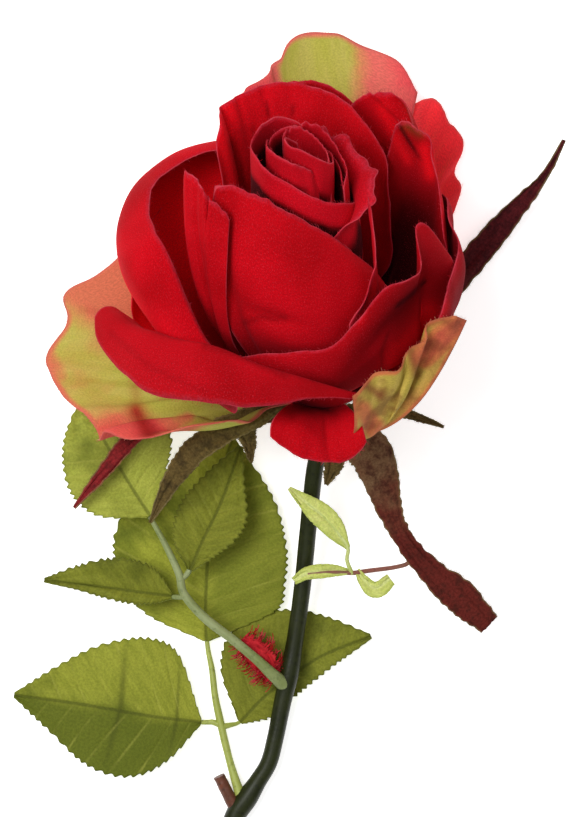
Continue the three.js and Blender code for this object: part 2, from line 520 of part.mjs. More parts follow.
const leafRoom = [stemRoom];
for (const [name, leaflet] of Object.entries(LEAFLETS)) {
  const surface = bladeSurface({ ...leaflet, teeth: TEETH, wave: 0.3 });
  add(name, fused([skin(surface, BLADE_THICK, 24, 4)], leafRoom), FABRIC("#8f9a2c"));
  leafRoom.push(skin(surface, BLADE_THICK + 2 * GAP, 24, 4, GAP));
}
add("upper_leaf_stalk", fused(bars(UPPER_STALK), leafRoom), PLASTIC("#8fa07a"));
add("lower_leaf_stalk", fused(bars(LOWER_STALK), leafRoom), PLASTIC("#a2ae4c"));
const stalkRoom = [...bars(UPPER_STALK, GAP), ...bars(LOWER_STALK, GAP)];
add("stipule", fused([skin(bladeSurface({ ...STIPULE, teeth: [5, 0.9] }), BLADE_THICK, 10, 4)],
  [...leafRoom, ...stalkRoom]), FABRIC("#b02028"));
add("cut_stub", fused(bars([STUB]), [...leafRoom, ...stalkRoom]), PLASTIC("#6a3a22"));
const sprigPieces = SPRIG_LEAVES.map((leaf) => skin(bladeSurface(leaf), BLADE_THICK, 6, 2));
add("young_sprig", fused([...bars(SPRIG_STALK), ...sprigPieces], [stemRoom]), PLASTIC("#bccf6e"));

export default rose;
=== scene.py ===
"""Cut rose of fabric petals and leaves on a plastic stem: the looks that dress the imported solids.

Sizes are in millimetres and turn into metres when a mesh is made. The flower is laid out on the same plan
sheet and round the same bloom axis as its solids, so each piece keeps the form of the node that it replaces.
"""
from __future__ import annotations

import logging
import math
import zlib
from dataclasses import dataclass, field
from enum import Enum
from typing import Iterable, Optional, Sequence

import bpy
import numpy as np
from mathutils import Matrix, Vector

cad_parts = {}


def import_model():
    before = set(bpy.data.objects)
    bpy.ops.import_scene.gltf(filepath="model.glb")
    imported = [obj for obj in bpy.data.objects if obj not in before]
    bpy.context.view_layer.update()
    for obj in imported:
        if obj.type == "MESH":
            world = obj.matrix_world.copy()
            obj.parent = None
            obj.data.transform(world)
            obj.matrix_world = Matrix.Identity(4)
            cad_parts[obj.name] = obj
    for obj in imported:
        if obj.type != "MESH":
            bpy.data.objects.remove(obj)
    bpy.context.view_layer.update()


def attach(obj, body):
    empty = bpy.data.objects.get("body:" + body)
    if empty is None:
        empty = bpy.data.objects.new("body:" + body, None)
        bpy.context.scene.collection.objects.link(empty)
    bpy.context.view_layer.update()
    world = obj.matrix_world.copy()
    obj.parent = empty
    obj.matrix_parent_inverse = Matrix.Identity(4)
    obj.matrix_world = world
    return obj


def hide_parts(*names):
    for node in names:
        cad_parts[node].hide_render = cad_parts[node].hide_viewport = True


LOG = logging.getLogger("cut_rose")
MM = 0.001
BODY = "root"
CLOTH_UNIT = 100.0  # millimetres of cloth for 1 in its coordinates

Station = Sequence[float]
Colour = tuple[float, float, float]
Array = np.ndarray
Material = bpy.types.Material
Node = bpy.types.Node
Piece = bpy.types.Object
Socket = bpy.types.NodeSocket
Tree = bpy.types.NodeTree


def through(values: Sequence[float], t: Array) -> Array:
    """Smooth curve through evenly spaced values.

    Args:
        values: the values, from t 0 to t 1.
        t: where to read the curve.

    Returns:
        The curve's value at each t.
    """
    v = np.asarray(values, dtype=float)
    last = len(v) - 1
    x = np.clip(np.asarray(t, dtype=float), 0.0, 1.0) * last
    i = np.minimum(np.floor(x).astype(int), last - 1)
    f = x - i
    b = v[i]
    c = v[i + 1]
    a = np.where(i > 0, v[np.maximum(i - 1, 0)], 2 * b - c)
    d = np.where(i < last - 1, v[np.minimum(i + 2, last)], 2 * c - b)
    return b + 0.5 * f * (c - a + f * (2 * a - 5 * b + 4 * c - d + f * (3 * (b - c) + d - a)))


def through_points(points: Array, t: Array) -> Array:
    """Smooth curve through points, one a row, read at each t."""
    return np.stack([through(points[:, k], t) for k in range(points.shape[1])], axis=-1)


def smooth(x: Array) -> Array:
    """Eased step from 0 to 1."""
    t = np.clip(x, 0.0, 1.0)
    return t * t * (3 - 2 * t)


def unit(v: Array) -> Array:
    """Vectors scaled to length 1."""
    return v / np.maximum(np.linalg.norm(v, axis=-1, keepdims=True), 1e-12)


@dataclass
class Ripple:
    """Smooth seeded unevenness over a sheet, as a sum of plane waves."""

    seed: int
    waves: int = 14
    coarsest: float = 0.8
    finest: float = 3.0

    def at(self, a: Array, b: Array) -> Array:
        """Height of the unevenness, about -1 to 1.

        Args:
            a: place across the sheet.
            b: place along the sheet.

        Returns:
            The height at each place.
        """
        rng = np.random.default_rng(self.seed)
        total = np.zeros(np.broadcast(a, b).shape)
        for _ in range(self.waves):
            pitch = rng.uniform(self.coarsest, self.finest)
            turn = rng.uniform(0, 2 * math.pi)
            phase = rng.uniform(0, 2 * math.pi)
            total = total + np.cos(2 * math.pi * pitch * (a * math.cos(turn) + b * math.sin(turn)) + phase)
        return total / math.sqrt(self.waves)


@dataclass(frozen=True)
class PlanSheet:
    """The sheet of squares that the flower is laid out on, seen straight down from the eye."""

    square: float = 0.25
    middle: tuple[float, float] = (292.0, 408.5)
    height: float = 45.0
    eye: float = 1000.0
    size: tuple[int, int] = (584, 817)
    origin: tuple[float, float, float] = (-0.985, -35.85, -0.12)

    def place(self, stations: Sequence[Station]) -> Array:
        """Points of the sheet in the part's frame.

        Args:
            stations: [across, down, height] of each point, and any further values, which are left out.

        Returns:
            One point a row, in millimetres.
        """
        s = np.array([row[:3] for row in stations], dtype=float)
        scale = self.square * (self.eye - (s[:, 2] - self.height)) / self.eye
        x = (s[:, 0] - self.middle[0]) * scale - self.origin[0]
        y = (self.middle[1] - s[:, 1]) * scale - self.origin[1]
        return np.stack([x, y, s[:, 2] - self.origin[2]], axis=-1)

    def read(self, points: Array) -> tuple[Array, Array]:
        """Where points of the part's frame lie on the sheet.

        Args:
            points: the points, in millimetres, with the coordinates last.

        Returns:
            The squares across and down of each.
        """
        p = points + np.array(self.origin)
        scale = self.square * (self.eye - (p[..., 2] - self.height)) / self.eye
        return p[..., 0] / scale + self.middle[0], self.middle[1] - p[..., 1] / scale


@dataclass(frozen=True)
class BloomFrame:
    """The bloom's axis and the directions round it."""

    sheet: PlanSheet
    foot_station: tuple[float, float, float] = (320, 412, 24)
    rise: float = 38.0
    lean: float = 8.0

    def foot(self) -> Array:
        """Foot of the axis, in millimetres."""
        return self.sheet.place([self.foot_station])[0]

    def basis(self) -> tuple[Array, Array, Array]:
        """The directions round the bloom.

        Returns:
            The side, front and axis directions.
        """
        rise = math.radians(self.rise)
        lean = math.radians(self.lean)
        axis = np.array([-math.sin(lean) * math.cos(rise), math.cos(lean) * math.cos(rise), math.sin(rise)])
        side = np.array([math.cos(lean), math.sin(lean), 0.0])
        return side, np.cross(side, axis), axis

    def point(self, radius: Array, bearing: Array, height: Array) -> Array:
        """Points round the axis.

        Args:
            radius: distance from the axis.
            bearing: degrees, 0 at the front and 90 at the right.
            height: distance up the axis.

        Returns:
            The points in the part's frame, in millimetres.
        """
        side, front, axis = self.basis()
        angle = np.radians(bearing)
        across = np.asarray(radius * np.sin(angle))[..., None] * side
        ahead = np.asarray(radius * np.cos(angle))[..., None] * front
        return self.foot() + across + ahead + np.asarray(height)[..., None] * axis


SHEET = PlanSheet()
BLOOM = BloomFrame(SHEET)


class MeshMaker:
    """Turns grids of points in millimetres into mesh objects in metres."""

    @staticmethod
    def from_parts(
        name: str,
        verts: Array,
        faces: Sequence[Sequence[int]],
        uv: Optional[Array] = None,
        marks: Optional[dict[str, Array]] = None,
    ) -> Piece:
        """Makes a smooth-shaded object that faces outwards.

        Args:
            name: the piece's name.
            verts: one point a row, in millimetres.
            faces: vertex numbers of each face.
            uv: one pair for each vertex.
            marks: named values for each vertex, single or in threes.

        Returns:
            The object, linked to the scene.
        """
        mesh = bpy.data.meshes.new(name)
        if MeshMaker._volume(verts, faces) < 0:
            faces = [tuple(reversed(face)) for face in faces]
        mesh.from_pydata((np.asarray(verts) * MM).tolist(), [], faces)
        if uv is not None:
            layer = mesh.uv_layers.new(name="UVMap")
            corner = np.empty(len(mesh.loops), dtype=np.int32)
            mesh.loops.foreach_get("vertex_index", corner)
            layer.data.foreach_set("uv", np.asarray(uv, dtype=np.float32)[corner].ravel())
        for key, values in (marks or {}).items():
            kind = "FLOAT" if np.ndim(values) == 1 else "FLOAT_VECTOR"
            attribute = mesh.attributes.new(key, kind, "POINT")
            slot = "value" if kind == "FLOAT" else "vector"
            attribute.data.foreach_set(slot, np.asarray(values, dtype=np.float32).ravel())
        mesh.shade_smooth()
        mesh.validate()
        obj = bpy.data.objects.new(name, mesh)
        bpy.context.scene.collection.objects.link(obj)
        return obj

    @staticmethod
    def _volume(verts: Array, faces: Sequence[Sequence[int]]) -> float:
        """Signed volume of a closed mesh, six times over.

        Args:
            verts: one point a row.
            faces: vertex numbers of each face.

        Returns:
            A positive number if the faces point outwards.
        """
        total = 0.0
        v = np.asarray(verts)
        sizes = {len(face) for face in faces}
        for size in sizes:
            group = np.array([face for face in faces if len(face) == size])
            for k in range(1, size - 1):
                a, b, c = v[group[:, 0]], v[group[:, k]], v[group[:, k + 1]]
                total += float(np.einsum("ij,ij->i", a, np.cross(b, c)).sum())
        return total

    @staticmethod
    def normals(points: Array) -> Array:
        """Unit normals of a grid of points.

        Args:
            points: rows by columns by three.

        Returns:
            A grid of the same shape.
        """
        da = np.gradient(points, axis=0)
        db = np.gradient(points, axis=1)
        return unit(np.cross(da, db))

    @staticmethod
    def rim_distance(points: Array, sides: Sequence[str]) -> Array:
        """Distance over the sheet from each grid point to the nearest free edge.

        Args:
            points: rows by columns by three.
            sides: the free edges, of first_row, last_row, first_col and last_col.

        Returns:
            Rows by columns of distances.
        """
        step_rows = np.linalg.norm(np.diff(points, axis=0), axis=-1)
        step_cols = np.linalg.norm(np.diff(points, axis=1), axis=-1)
        down = np.vstack([np.zeros(points.shape[1]), np.cumsum(step_rows, axis=0)])
        across = np.hstack([np.zeros((points.shape[0], 1)), np.cumsum(step_cols, axis=1)])
        options = {
            "first_row": down,
            "last_row": down[-1] - down,
            "first_col": across,
            "last_col": across[:, -1:] - across,
        }
        return np.minimum.reduce([options[s] for s in sides])

    @staticmethod
    def sheet(
        name: str,
        points: Array,
        thickness: float,
        uv: Array,
        marks: dict[str, Array],
    ) -> Piece:
        """Makes a closed thin sheet about a grid of points, with rounded free edges.

        Args:
            name: the piece's name.
            points: rows by columns by three, in millimetres.
            thickness: thickness of the sheet.
            uv: rows by columns by two.
            marks: rows by columns of named values.

        Returns:
            The object.
        """
        rows, cols = points.shape[:2]
        normal = MeshMaker.normals(points)
        half = np.full((rows, cols), thickness / 2)
        half[0, :] = half[-1, :] = thickness / 4
        half[:, 0] = half[:, -1] = thickness / 4
        outer = points + normal * half[..., None]
        inner = points - normal * half[..., None]
        verts = np.concatenate([outer.reshape(-1, 3), inner.reshape(-1, 3)])
        index = np.arange(rows * cols).reshape(rows, cols)
        a, b = index[:-1, :-1].ravel(), index[1:, :-1].ravel()
        c, d = index[1:, 1:].ravel(), index[:-1, 1:].ravel()
        n = rows * cols
        front = np.stack([a, b, c, d], axis=1)
        back = np.stack([a + n, d + n, c + n, b + n], axis=1)
        loop = np.concatenate([index[:-1, 0], index[-1, :-1], index[:0:-1, -1], index[0, :0:-1]])
        nxt = np.roll(loop, -1)
        rim = np.stack([loop, loop + n, nxt + n, nxt], axis=1)
        faces = np.concatenate([front, back, rim]).tolist()
        flat_uv = uv.reshape(-1, 2)
        flat = {k: m.reshape(n) if m.ndim == 2 else m.reshape(n, 3) for k, m in marks.items()}
        doubled = {k: np.concatenate([m, m]) for k, m in flat.items()}
        doubled["inside"] = np.concatenate([np.zeros(n), np.ones(n)])
        return MeshMaker.from_parts(name, verts, faces, np.concatenate([flat_uv, flat_uv]), doubled)

    @staticmethod
    def turned(name: str, frame: BloomFrame, profile: Sequence[Station], sides: int = 48) -> Piece:
        """Makes a closed solid of revolution round the bloom's axis.

        Args:
            name: the piece's name.
            frame: the bloom's axis.
            profile: [radius, height] from the lower pole to the upper one, both at radius 0.
            sides: number of sides.

        Returns:
            The object.
        """
        ring = np.arange(sides) * 360.0 / sides
        inner = np.array(profile[1:-1], dtype=float)
        verts = [frame.point(np.array([0.0]), np.array([0.0]), np.array([profile[0][1]]))]
        for radius, height in inner:
            verts.append(frame.point(np.full(sides, radius), ring, np.full(sides, height)))
        verts.append(frame.point(np.array([0.0]), np.array([0.0]), np.array([profile[-1][1]])))
        faces: list[tuple[int, ...]] = []
        for k in range(sides):
            n = (k + 1) % sides
            faces.append((0, 1 + n, 1 + k))
            for level in range(len(inner) - 1):
                low = 1 + level * sides
                faces.append((low + k, low + n, low + sides + n, low + sides + k))
            top = 1 + (len(inner) - 1) * sides
            faces.append((top + k, top + n, top + sides))
        return MeshMaker.from_parts(name, np.concatenate(verts), faces)


class Nodes:
    """Short names for the nodes that the trees and materials are built from."""

    def __init__(self, tree: Tree) -> None:
        """Keeps the tree of a shader or of geometry nodes."""
        self.tree = tree

    def add(self, kind: str, **values: object) -> Node:
        """Adds a node.

        Args:
            kind: the node's type name.
            values: properties of the node.

        Returns:
            The node.
        """
        node = self.tree.nodes.new(kind)
        for key, value in values.items():
            setattr(node, key, value)
        return node

    def fed(self, kind: str, inputs: dict[object, object], **values: object) -> Node:
        """Adds a node and feeds its inputs.

        Args:
            kind: the node's type name.
            inputs: an output to link or a plain value for each input, by the input's name or number.
            values: properties of the node.

        Returns:
            The node.
        """
        node = self.add(kind, **values)
        for key, value in inputs.items():
            self.put(node.inputs[key], value)
        return node

    def put(self, socket: Socket, value: object) -> None:
        """Links or sets an input.

        Args:
            socket: the input.
            value: an output to link, or a plain value.
        """
        if isinstance(value, Socket):
            self.tree.links.new(value, socket)
        elif value is not None:
            socket.default_value = value

    def math(self, kind: str, a: object, b: object = None) -> Socket:
        """Adds an operation on one or two numbers, and returns its result."""
        return self.fed("ShaderNodeMath", {0: a, 1: b}, operation=kind).outputs[0]

    def span(self, value: object, low: float, high: float, out: tuple[float, float] = (0.0, 1.0)) -> Socket:
        """Maps the values from low to high onto the two of out, eased at both ends."""
        inputs = dict(enumerate((value, low, high, *out)))
        return self.fed("ShaderNodeMapRange", inputs, interpolation_type="SMOOTHSTEP").outputs[0]

    def noise(self, where: object, scale: object, detail: float = 3.0, roughness: float = 0.5) -> Socket:
        """Adds a noise pattern with so many lumps in a unit, and finer layers with a share of their own."""
        inputs = {"Vector": where, "Scale": scale, "Detail": detail, "Roughness": roughness}
        return self.fed("ShaderNodeTexNoise", inputs).outputs[0]

    def blend(self, share: object, a: object, b: object, kind: str = "MIX") -> Socket:
        """Blends a share of the second colour into the first."""
        inputs = {0: share, 6: a, 7: b}
        return self.fed("ShaderNodeMix", inputs, data_type="RGBA", blend_type=kind).outputs[2]

    def mark(self, name: str, part: Optional[int] = None) -> Socket:
        """Reads a named value of the mesh.

        Args:
            name: name of the value.
            part: which of its three numbers, if it has three.

        Returns:
            The value's socket.
        """
        node = self.add("ShaderNodeAttribute", attribute_name=name)
        if part is None:
            return node.outputs["Fac"]
        return self.fed("ShaderNodeSeparateXYZ", {0: node.outputs["Vector"]}).outputs[part]

    def mark_vector(self, name: str) -> Socket:
        """Reads a named triple of the mesh as coordinates."""
        return self.add("ShaderNodeAttribute", attribute_name=name).outputs["Vector"]

    def place(self) -> Socket:
        """Coordinates of the object."""
        return self.add("ShaderNodeTexCoord").outputs["Object"]

    def cloth_place(self) -> Socket:
        """Coordinates over the cloth, 1 for 100 mm."""
        return self.add("ShaderNodeUVMap", uv_map="UVMap").outputs[0]


def linear(red: float, green: float, blue: float) -> tuple[float, float, float, float]:
    """Colour for a shader from screen values.

    Args:
        red: 0 to 255.
        green: 0 to 255.
        blue: 0 to 255.

    Returns:
        Linear red, green, blue and alpha.
    """
    def one(x: float) -> float:
        """One screen value, made linear."""
        c = x / 255.0
        return c / 12.92 if c <= 0.04045 else ((c + 0.055) / 1.055) ** 2.4

    return one(red), one(green), one(blue), 1.0


class Weave(Enum):
    """How close the threads of a cloth are, as threads in 100 mm."""

    FINE = 230
    COARSE = 170


@dataclass(frozen=True)
class Finish:
    """A named finish: the shader's even values, and the depth of the relief in millimetres.

    Patches, specks and the like count the lumps of a pattern, in a metre of the part or 100 mm of the cloth.
    """

    name: str
    roughness: float = 0.8
    specular: float = 0.25
    sheen: float = 0.0
    sheen_tint: Colour = (255, 255, 255)
    sheen_roughness: float = 0.4
    relief: float = 0.1
    patches: float = 60.0
    specks: float = 160.0

    def start(self) -> tuple[Material, Nodes, Node]:
        """Makes the material with its even values.

        Returns:
            The material, its nodes and its shader.
        """
        material = bpy.data.materials.new(self.name)
        material.use_nodes = True
        nodes = Nodes(material.node_tree)
        shader = material.node_tree.nodes["Principled BSDF"]
        shader.inputs["Roughness"].default_value = self.roughness
        shader.inputs["Specular IOR Level"].default_value = self.specular
        shader.inputs["Sheen Weight"].default_value = self.sheen
        shader.inputs["Sheen Roughness"].default_value = self.sheen_roughness
        shader.inputs["Sheen Tint"].default_value = linear(*self.sheen_tint)
        return material, nodes, shader

    def bump(self, nodes: Nodes, shader: Node, height: object, strength: float = 0.8) -> None:
        """Gives the shader its relief, from a height of 0 to 1, of which a share shows."""
        inputs = {"Strength": strength, "Distance": self.relief * MM, "Height": height}
        nodes.put(shader.inputs["Normal"], nodes.fed("ShaderNodeBump", inputs).outputs[0])

    @staticmethod
    def weave(nodes: Nodes, threads: Weave) -> Socket:
        """Crossing threads over the cloth, uneven as spun thread is.

        Args:
            nodes: the material's nodes.
            threads: how close the threads are.

        Returns:
            Height of the threads, 0 to 1.
        """
        where = nodes.cloth_place()
        split = nodes.fed("ShaderNodeSeparateXYZ", {0: where})
        wander = nodes.math("MULTIPLY", nodes.noise(where, 14.0, 2.0), 2.5)
        turn = 2 * math.pi * threads.value
        warp = nodes.math("SINE", nodes.math("ADD", nodes.math("MULTIPLY", split.outputs[0], turn), wander))
        weft = nodes.math("SINE", nodes.math("ADD", nodes.math("MULTIPLY", split.outputs[1], turn), wander))
        cross = nodes.math("MULTIPLY", warp, weft)
        grain = nodes.noise(where, threads.value * 0.9, 2.0, 0.6)
        even = nodes.math("ADD", nodes.math("MULTIPLY", cross, 0.2), 0.5)
        return nodes.math("ADD", nodes.math("MULTIPLY", even, 0.5), nodes.math("MULTIPLY", grain, 0.5))


@dataclass(frozen=True)
class PetalFinish(Finish):
    """Dyed red cloth: painted shade at root and folds, painted light, dusty pink cut edge partly painted
    highlight.
    """

    roughness: float = 0.85
    specular: float = 0.05
    sheen: float = 0.1
    sheen_tint: Colour = (255, 70, 90)
    sheen_roughness: float = 0.5
    bright: Colour = (204, 8, 24)
    deep: Colour = (172, 4, 14)
    # Painted shade: the colour that the shade mark blends to, at the root, deep in the bloom and in folds.
    root: Colour = (44, 1, 2)
    # Pale pink of the cut edge: partly the cloth's own colour, partly a painted highlight where rims catch
    # the light.
    edge: Colour = (208, 74, 88)
    fuzz: Colour = (190, 46, 66)
    stain: Colour = (112, 62, 26)
    # Painted light: the colour for places where light falls.
    glow: Colour = (255, 14, 28)
    lint: Colour = (222, 70, 88)
    edge_width: float = 0.22
    relief: float = 0.09
    patches: float = 45.0
    specks: float = 240.0
    worn_spots: float = 90.0
    lints: float = 300.0
    edge_nicks: float = 60.0
    edge_patches: float = 110.0

    def build(self) -> Material:
        """Makes the material.

        Returns:
            The material.
        """
        material, nodes, shader = self.start()
        where = nodes.place()
        cloth = nodes.cloth_place()
        broad = nodes.noise(where, self.patches, 2.0)
        weave = self.weave(nodes, Weave.FINE)
        colour = nodes.blend(nodes.span(broad, 0.35, 0.7), linear(*self.bright), linear(*self.deep))
        # Painted light, then painted shade, then stains.
        colour = nodes.blend(nodes.mark("glow"), colour, linear(*self.glow))
        colour = nodes.blend(nodes.mark("shade"), colour, linear(*self.root))
        colour = nodes.blend(nodes.mark("stain"), colour, linear(*self.stain))
        spots = nodes.span(nodes.noise(cloth, self.worn_spots, 3.0, 0.7), 0.3, 0.6)
        worn = nodes.math("MULTIPLY", nodes.mark("fuzz"), spots)
        colour = nodes.blend(nodes.math("MULTIPLY", worn, 0.75), colour, linear(*self.fuzz))
        speck = nodes.span(nodes.noise(cloth, self.specks, 2.0, 0.7), 0.35, 0.72, (0.8, 1.16))
        grain = nodes.math("MULTIPLY", speck, nodes.span(weave, 0.2, 0.8, (0.86, 1.1)))
        colour = nodes.blend(1.0, colour, grain, "MULTIPLY")
        lint = nodes.span(nodes.noise(cloth, self.lints, 1.0), 0.58, 0.76, (0.0, 0.3))
        colour = nodes.blend(lint, colour, linear(*self.lint))
        # The pale cut edge along the rims, partly a painted highlight.
        ragged = nodes.math("MULTIPLY", nodes.noise(cloth, self.edge_nicks, 2.0), self.edge_width * 2)
        reach = nodes.math("SUBTRACT", nodes.mark("petal", 2), ragged)
        pale = nodes.math("MULTIPLY", nodes.span(reach, self.edge_width * 0.4, -0.1),
                          nodes.span(nodes.noise(where, self.edge_patches, 2.0), 0.4, 0.62, (0.12, 0.6)))
        colour = nodes.blend(pale, colour, linear(*self.edge))
        nodes.put(shader.inputs["Base Color"], colour)
        self.bump(nodes, shader, weave)
        return material


@dataclass(frozen=True)
class GuardFinish(Finish):
    """Cloth dyed yellow-green in the middle and coral to pink at the edges, with faint veins."""

    roughness: float = 0.75
    specular: float = 0.1
    middle: Colour = (172, 174, 70)
    pale: Colour = (192, 186, 96)
    blush: Colour = (208, 112, 82)
    deep_blush: Colour = (214, 66, 72)
    rim: Colour = (206, 96, 90)
    spot: Colour = (110, 52, 34)
    # Colour of the stain mark: brown stains, and on the left guard petal painted shade in its deep fold.
    fold: Colour = (150, 28, 26)
    vein: Colour = (150, 140, 50)
    spots: float = 0.0
    relief: float = 0.08
    patches: float = 70.0
    specks: float = 190.0
    spot_lumps: float = 120.0

    def build(self) -> Material:
        """Makes the material.

        Returns:
            The material.
        """
        material, nodes, shader = self.start()
        where = nodes.place()
        cloth = nodes.cloth_place()
        weave = self.weave(nodes, Weave.FINE)
        streak = nodes.noise(nodes.mark_vector("streak"), 1.0, 4.0, 0.6)
        colour = nodes.blend(nodes.span(streak, 0.3, 0.75), linear(*self.middle), linear(*self.pale))
        uneven = nodes.math("SUBTRACT", nodes.noise(where, self.patches, 4.0, 0.6), 0.5)
        share = nodes.math("ADD", nodes.mark("blush"), nodes.math("MULTIPLY", uneven, 0.6))
        colour = nodes.blend(nodes.span(share, 0.25, 0.75), colour, linear(*self.blush))
        colour = nodes.blend(nodes.span(share, 0.8, 1.25), colour, linear(*self.deep_blush))
        lumps = nodes.span(nodes.noise(where, self.spot_lumps, 3.0), 0.5, 0.68)
        colour = nodes.blend(nodes.math("MULTIPLY", lumps, self.spots), colour, linear(*self.spot))
        # Stains, and painted fold shade on the left guard petal.
        colour = nodes.blend(nodes.mark("stain"), colour, linear(*self.fold))
        vein = nodes.math("MULTIPLY", nodes.mark("vein"), 0.12)
        colour = nodes.blend(vein, colour, linear(*self.vein))
        grain = nodes.span(nodes.noise(cloth, self.specks, 2.0, 0.7), 0.3, 0.7, (0.86, 1.14))
        colour = nodes.blend(1.0, colour, grain, "MULTIPLY")
        edge = nodes.span(nodes.mark("petal", 2), 0.8, 0.1, (0.0, 0.5))
        colour = nodes.blend(edge, colour, linear(*self.rim))
        nodes.put(shader.inputs["Base Color"], colour)
        self.bump(nodes, shader, weave)
        return material


@dataclass(frozen=True)
class LeafFinish(Finish):
    """Printed leaf cloth: yellow-green, darker mottling, paler back, painted shadow of the ribs, painted
    shade on a half.
    """

    roughness: float = 0.7
    specular: float = 0.1
    light: Colour = (164, 167, 60)
    middle: Colour = (136, 143, 44)
    dark: Colour = (92, 101, 28)
    back: Colour = (136, 146, 76)
    # Painted shadow of the plastic ribs under the cloth, along the midrib and in bars across.
    rib: Colour = (66, 72, 22)
    pale_rib: Colour = (172, 172, 78)
    shaded_side: float = 0.0
    rib_gaps: float = 90.0

    def build(self) -> Material:
        """Makes the material.

        Returns:
            The material.
        """
        material, nodes, shader = self.start()
        where = nodes.place()
        cloth = nodes.cloth_place()
        weave = self.weave(nodes, Weave.COARSE)
        streak = nodes.noise(nodes.mark_vector("streak"), 1.0, 5.0, 0.65)
        patch = nodes.noise(where, self.patches, 3.0, 0.55)
        colour = nodes.blend(nodes.span(streak, 0.3, 0.72), linear(*self.light), linear(*self.middle))
        colour = nodes.blend(nodes.span(patch, 0.45, 0.75), colour, linear(*self.dark))
        # Painted shade over one half of the leaflet, as much as shaded_side.
        turn = math.copysign(1.0, self.shaded_side)
        half = nodes.span(nodes.mark("leaf", 0), 0.15 * turn, -0.2 * turn, (0.0, abs(self.shaded_side)))
        colour = nodes.blend(half, colour, linear(*self.dark))
        # Bars of painted rib shadow across.
        colour = nodes.blend(nodes.math("MULTIPLY", nodes.mark("band"), 0.6), colour, linear(*self.rib))
        off = nodes.math("ABSOLUTE", nodes.mark("rib", 0))
        spread = nodes.math("MULTIPLY", nodes.math("PINGPONG", nodes.mark("rib", 1), 0.5),
                            nodes.mark("rib", 2))
        side = nodes.math("MULTIPLY", nodes.span(spread, 0.55, 0.08), nodes.span(off, 0.0, 1.5))
        faint = nodes.span(nodes.noise(where, self.rib_gaps, 2.0), 0.35, 0.65, (0.04, 0.34))
        colour = nodes.blend(nodes.math("MULTIPLY", side, faint), colour, linear(*self.pale_rib))
        # Painted shadow of the plastic midrib seen through the cloth.
        colour = nodes.blend(nodes.span(off, 0.7, 0.2, (0.0, 0.55)), colour, linear(*self.rib))
        edge = nodes.span(nodes.mark("leaf", 2), 0.9, 0.1, (0.0, 0.5))
        colour = nodes.blend(edge, colour, linear(*self.dark))
        colour = nodes.blend(nodes.span(nodes.mark("inside"), 1.0, 0.0, (0.0, 0.8)), colour,
                             linear(*self.back))
        grain = nodes.span(nodes.noise(cloth, self.specks, 3.0, 0.7), 0.3, 0.7, (0.84, 1.14))
        colour = nodes.blend(1.0, colour, grain, "MULTIPLY")
        nodes.put(shader.inputs["Base Color"], colour)
        self.bump(nodes, shader, weave)
        return material


@dataclass(frozen=True)
class SepalFinish(Finish):
    """Coarse cloth of the sepals, mottled, with one colour at the foot and another at the tip."""

    roughness: float = 0.85
    specular: float = 0.06
    foot: Colour = (108, 96, 52)
    tip: Colour = (92, 76, 42)
    mottle: Colour = (54, 44, 26)
    cut_edge: Colour = (132, 120, 78)
    change: tuple[float, float] = (0.3, 0.6)
    relief: float = 0.12
    patches: float = 160.0
    specks: float = 150.0
    mottles: float = 330.0

    def build(self) -> Material:
        """Makes the material.

        Returns:
            The material.
        """
        material, nodes, shader = self.start()
        where = nodes.place()
        cloth = nodes.cloth_place()
        weave = self.weave(nodes, Weave.COARSE)
        uneven = nodes.math("SUBTRACT", nodes.noise(where, self.patches, 4.0, 0.6), 0.5)
        along = nodes.math("ADD", nodes.mark("leaf", 1), nodes.math("MULTIPLY", uneven, 0.5))
        colour = nodes.blend(nodes.span(along, *self.change), linear(*self.foot), linear(*self.tip))
        patch = nodes.span(nodes.noise(where, self.mottles, 4.0, 0.65), 0.42, 0.68, (0.0, 0.75))
        colour = nodes.blend(patch, colour, linear(*self.mottle))
        edge = nodes.span(nodes.mark("leaf", 2), 0.6, 0.05, (0.0, 0.5))
        colour = nodes.blend(edge, colour, linear(*self.cut_edge))
        grain = nodes.span(nodes.noise(cloth, self.specks, 3.0, 0.7), 0.3, 0.7, (0.75, 1.3))
        colour = nodes.blend(1.0, colour, grain, "MULTIPLY")
        nodes.put(shader.inputs["Base Color"], colour)
        self.bump(nodes, shader, weave, 1.0)
        return material


@dataclass(frozen=True)
class PlasticFinish(Finish):
    """Moulded plastic with cloudy colour and a faint moulded grain."""

    roughness: float = 0.45
    specular: float = 0.4
    main: Colour = (44, 62, 28)
    cloud: Colour = (66, 84, 40)
    speckle: Colour = (30, 40, 20)
    relief: float = 0.06
    specks: float = 700.0
    grains: float = 1500.0

    def build(self) -> Material:
        """Makes the material.

        Returns:
            The material.
        """
        material, nodes, shader = self.start()
        where = nodes.place()
        patch = nodes.noise(where, self.patches, 4.0, 0.6)
        colour = nodes.blend(nodes.span(patch, 0.35, 0.7), linear(*self.main), linear(*self.cloud))
        speck = nodes.span(nodes.noise(where, self.specks, 3.0, 0.6), 0.52, 0.7, (0.0, 0.6))
        colour = nodes.blend(speck, colour, linear(*self.speckle))
        nodes.put(shader.inputs["Base Color"], colour)
        worn = nodes.span(patch, 0.3, 0.7, (self.roughness - 0.08, self.roughness + 0.12))
        nodes.put(shader.inputs["Roughness"], worn)
        self.bump(nodes, shader, nodes.noise(where, self.grains, 3.0, 0.6), 0.7)
        return material


@dataclass(frozen=True)
class ThreadFinish(Finish):
    """Loose threads of cut cloth."""

    roughness: float = 0.7
    specular: float = 0.15
    main: Colour = (200, 56, 70)
    other: Colour = (170, 12, 26)
    relief: float = 0.01
    patches: float = 400.0
    grains: float = 9000.0

    def build(self) -> Material:
        """Makes the material.

        Returns:
            The material.
        """
        material, nodes, shader = self.start()
        share = nodes.span(nodes.noise(nodes.place(), self.patches, 1.0), 0.4, 0.6)
        nodes.put(shader.inputs["Base Color"], nodes.blend(share, linear(*self.main), linear(*self.other)))
        self.bump(nodes, shader, nodes.noise(nodes.place(), self.grains, 1.0), 0.5)
        return material


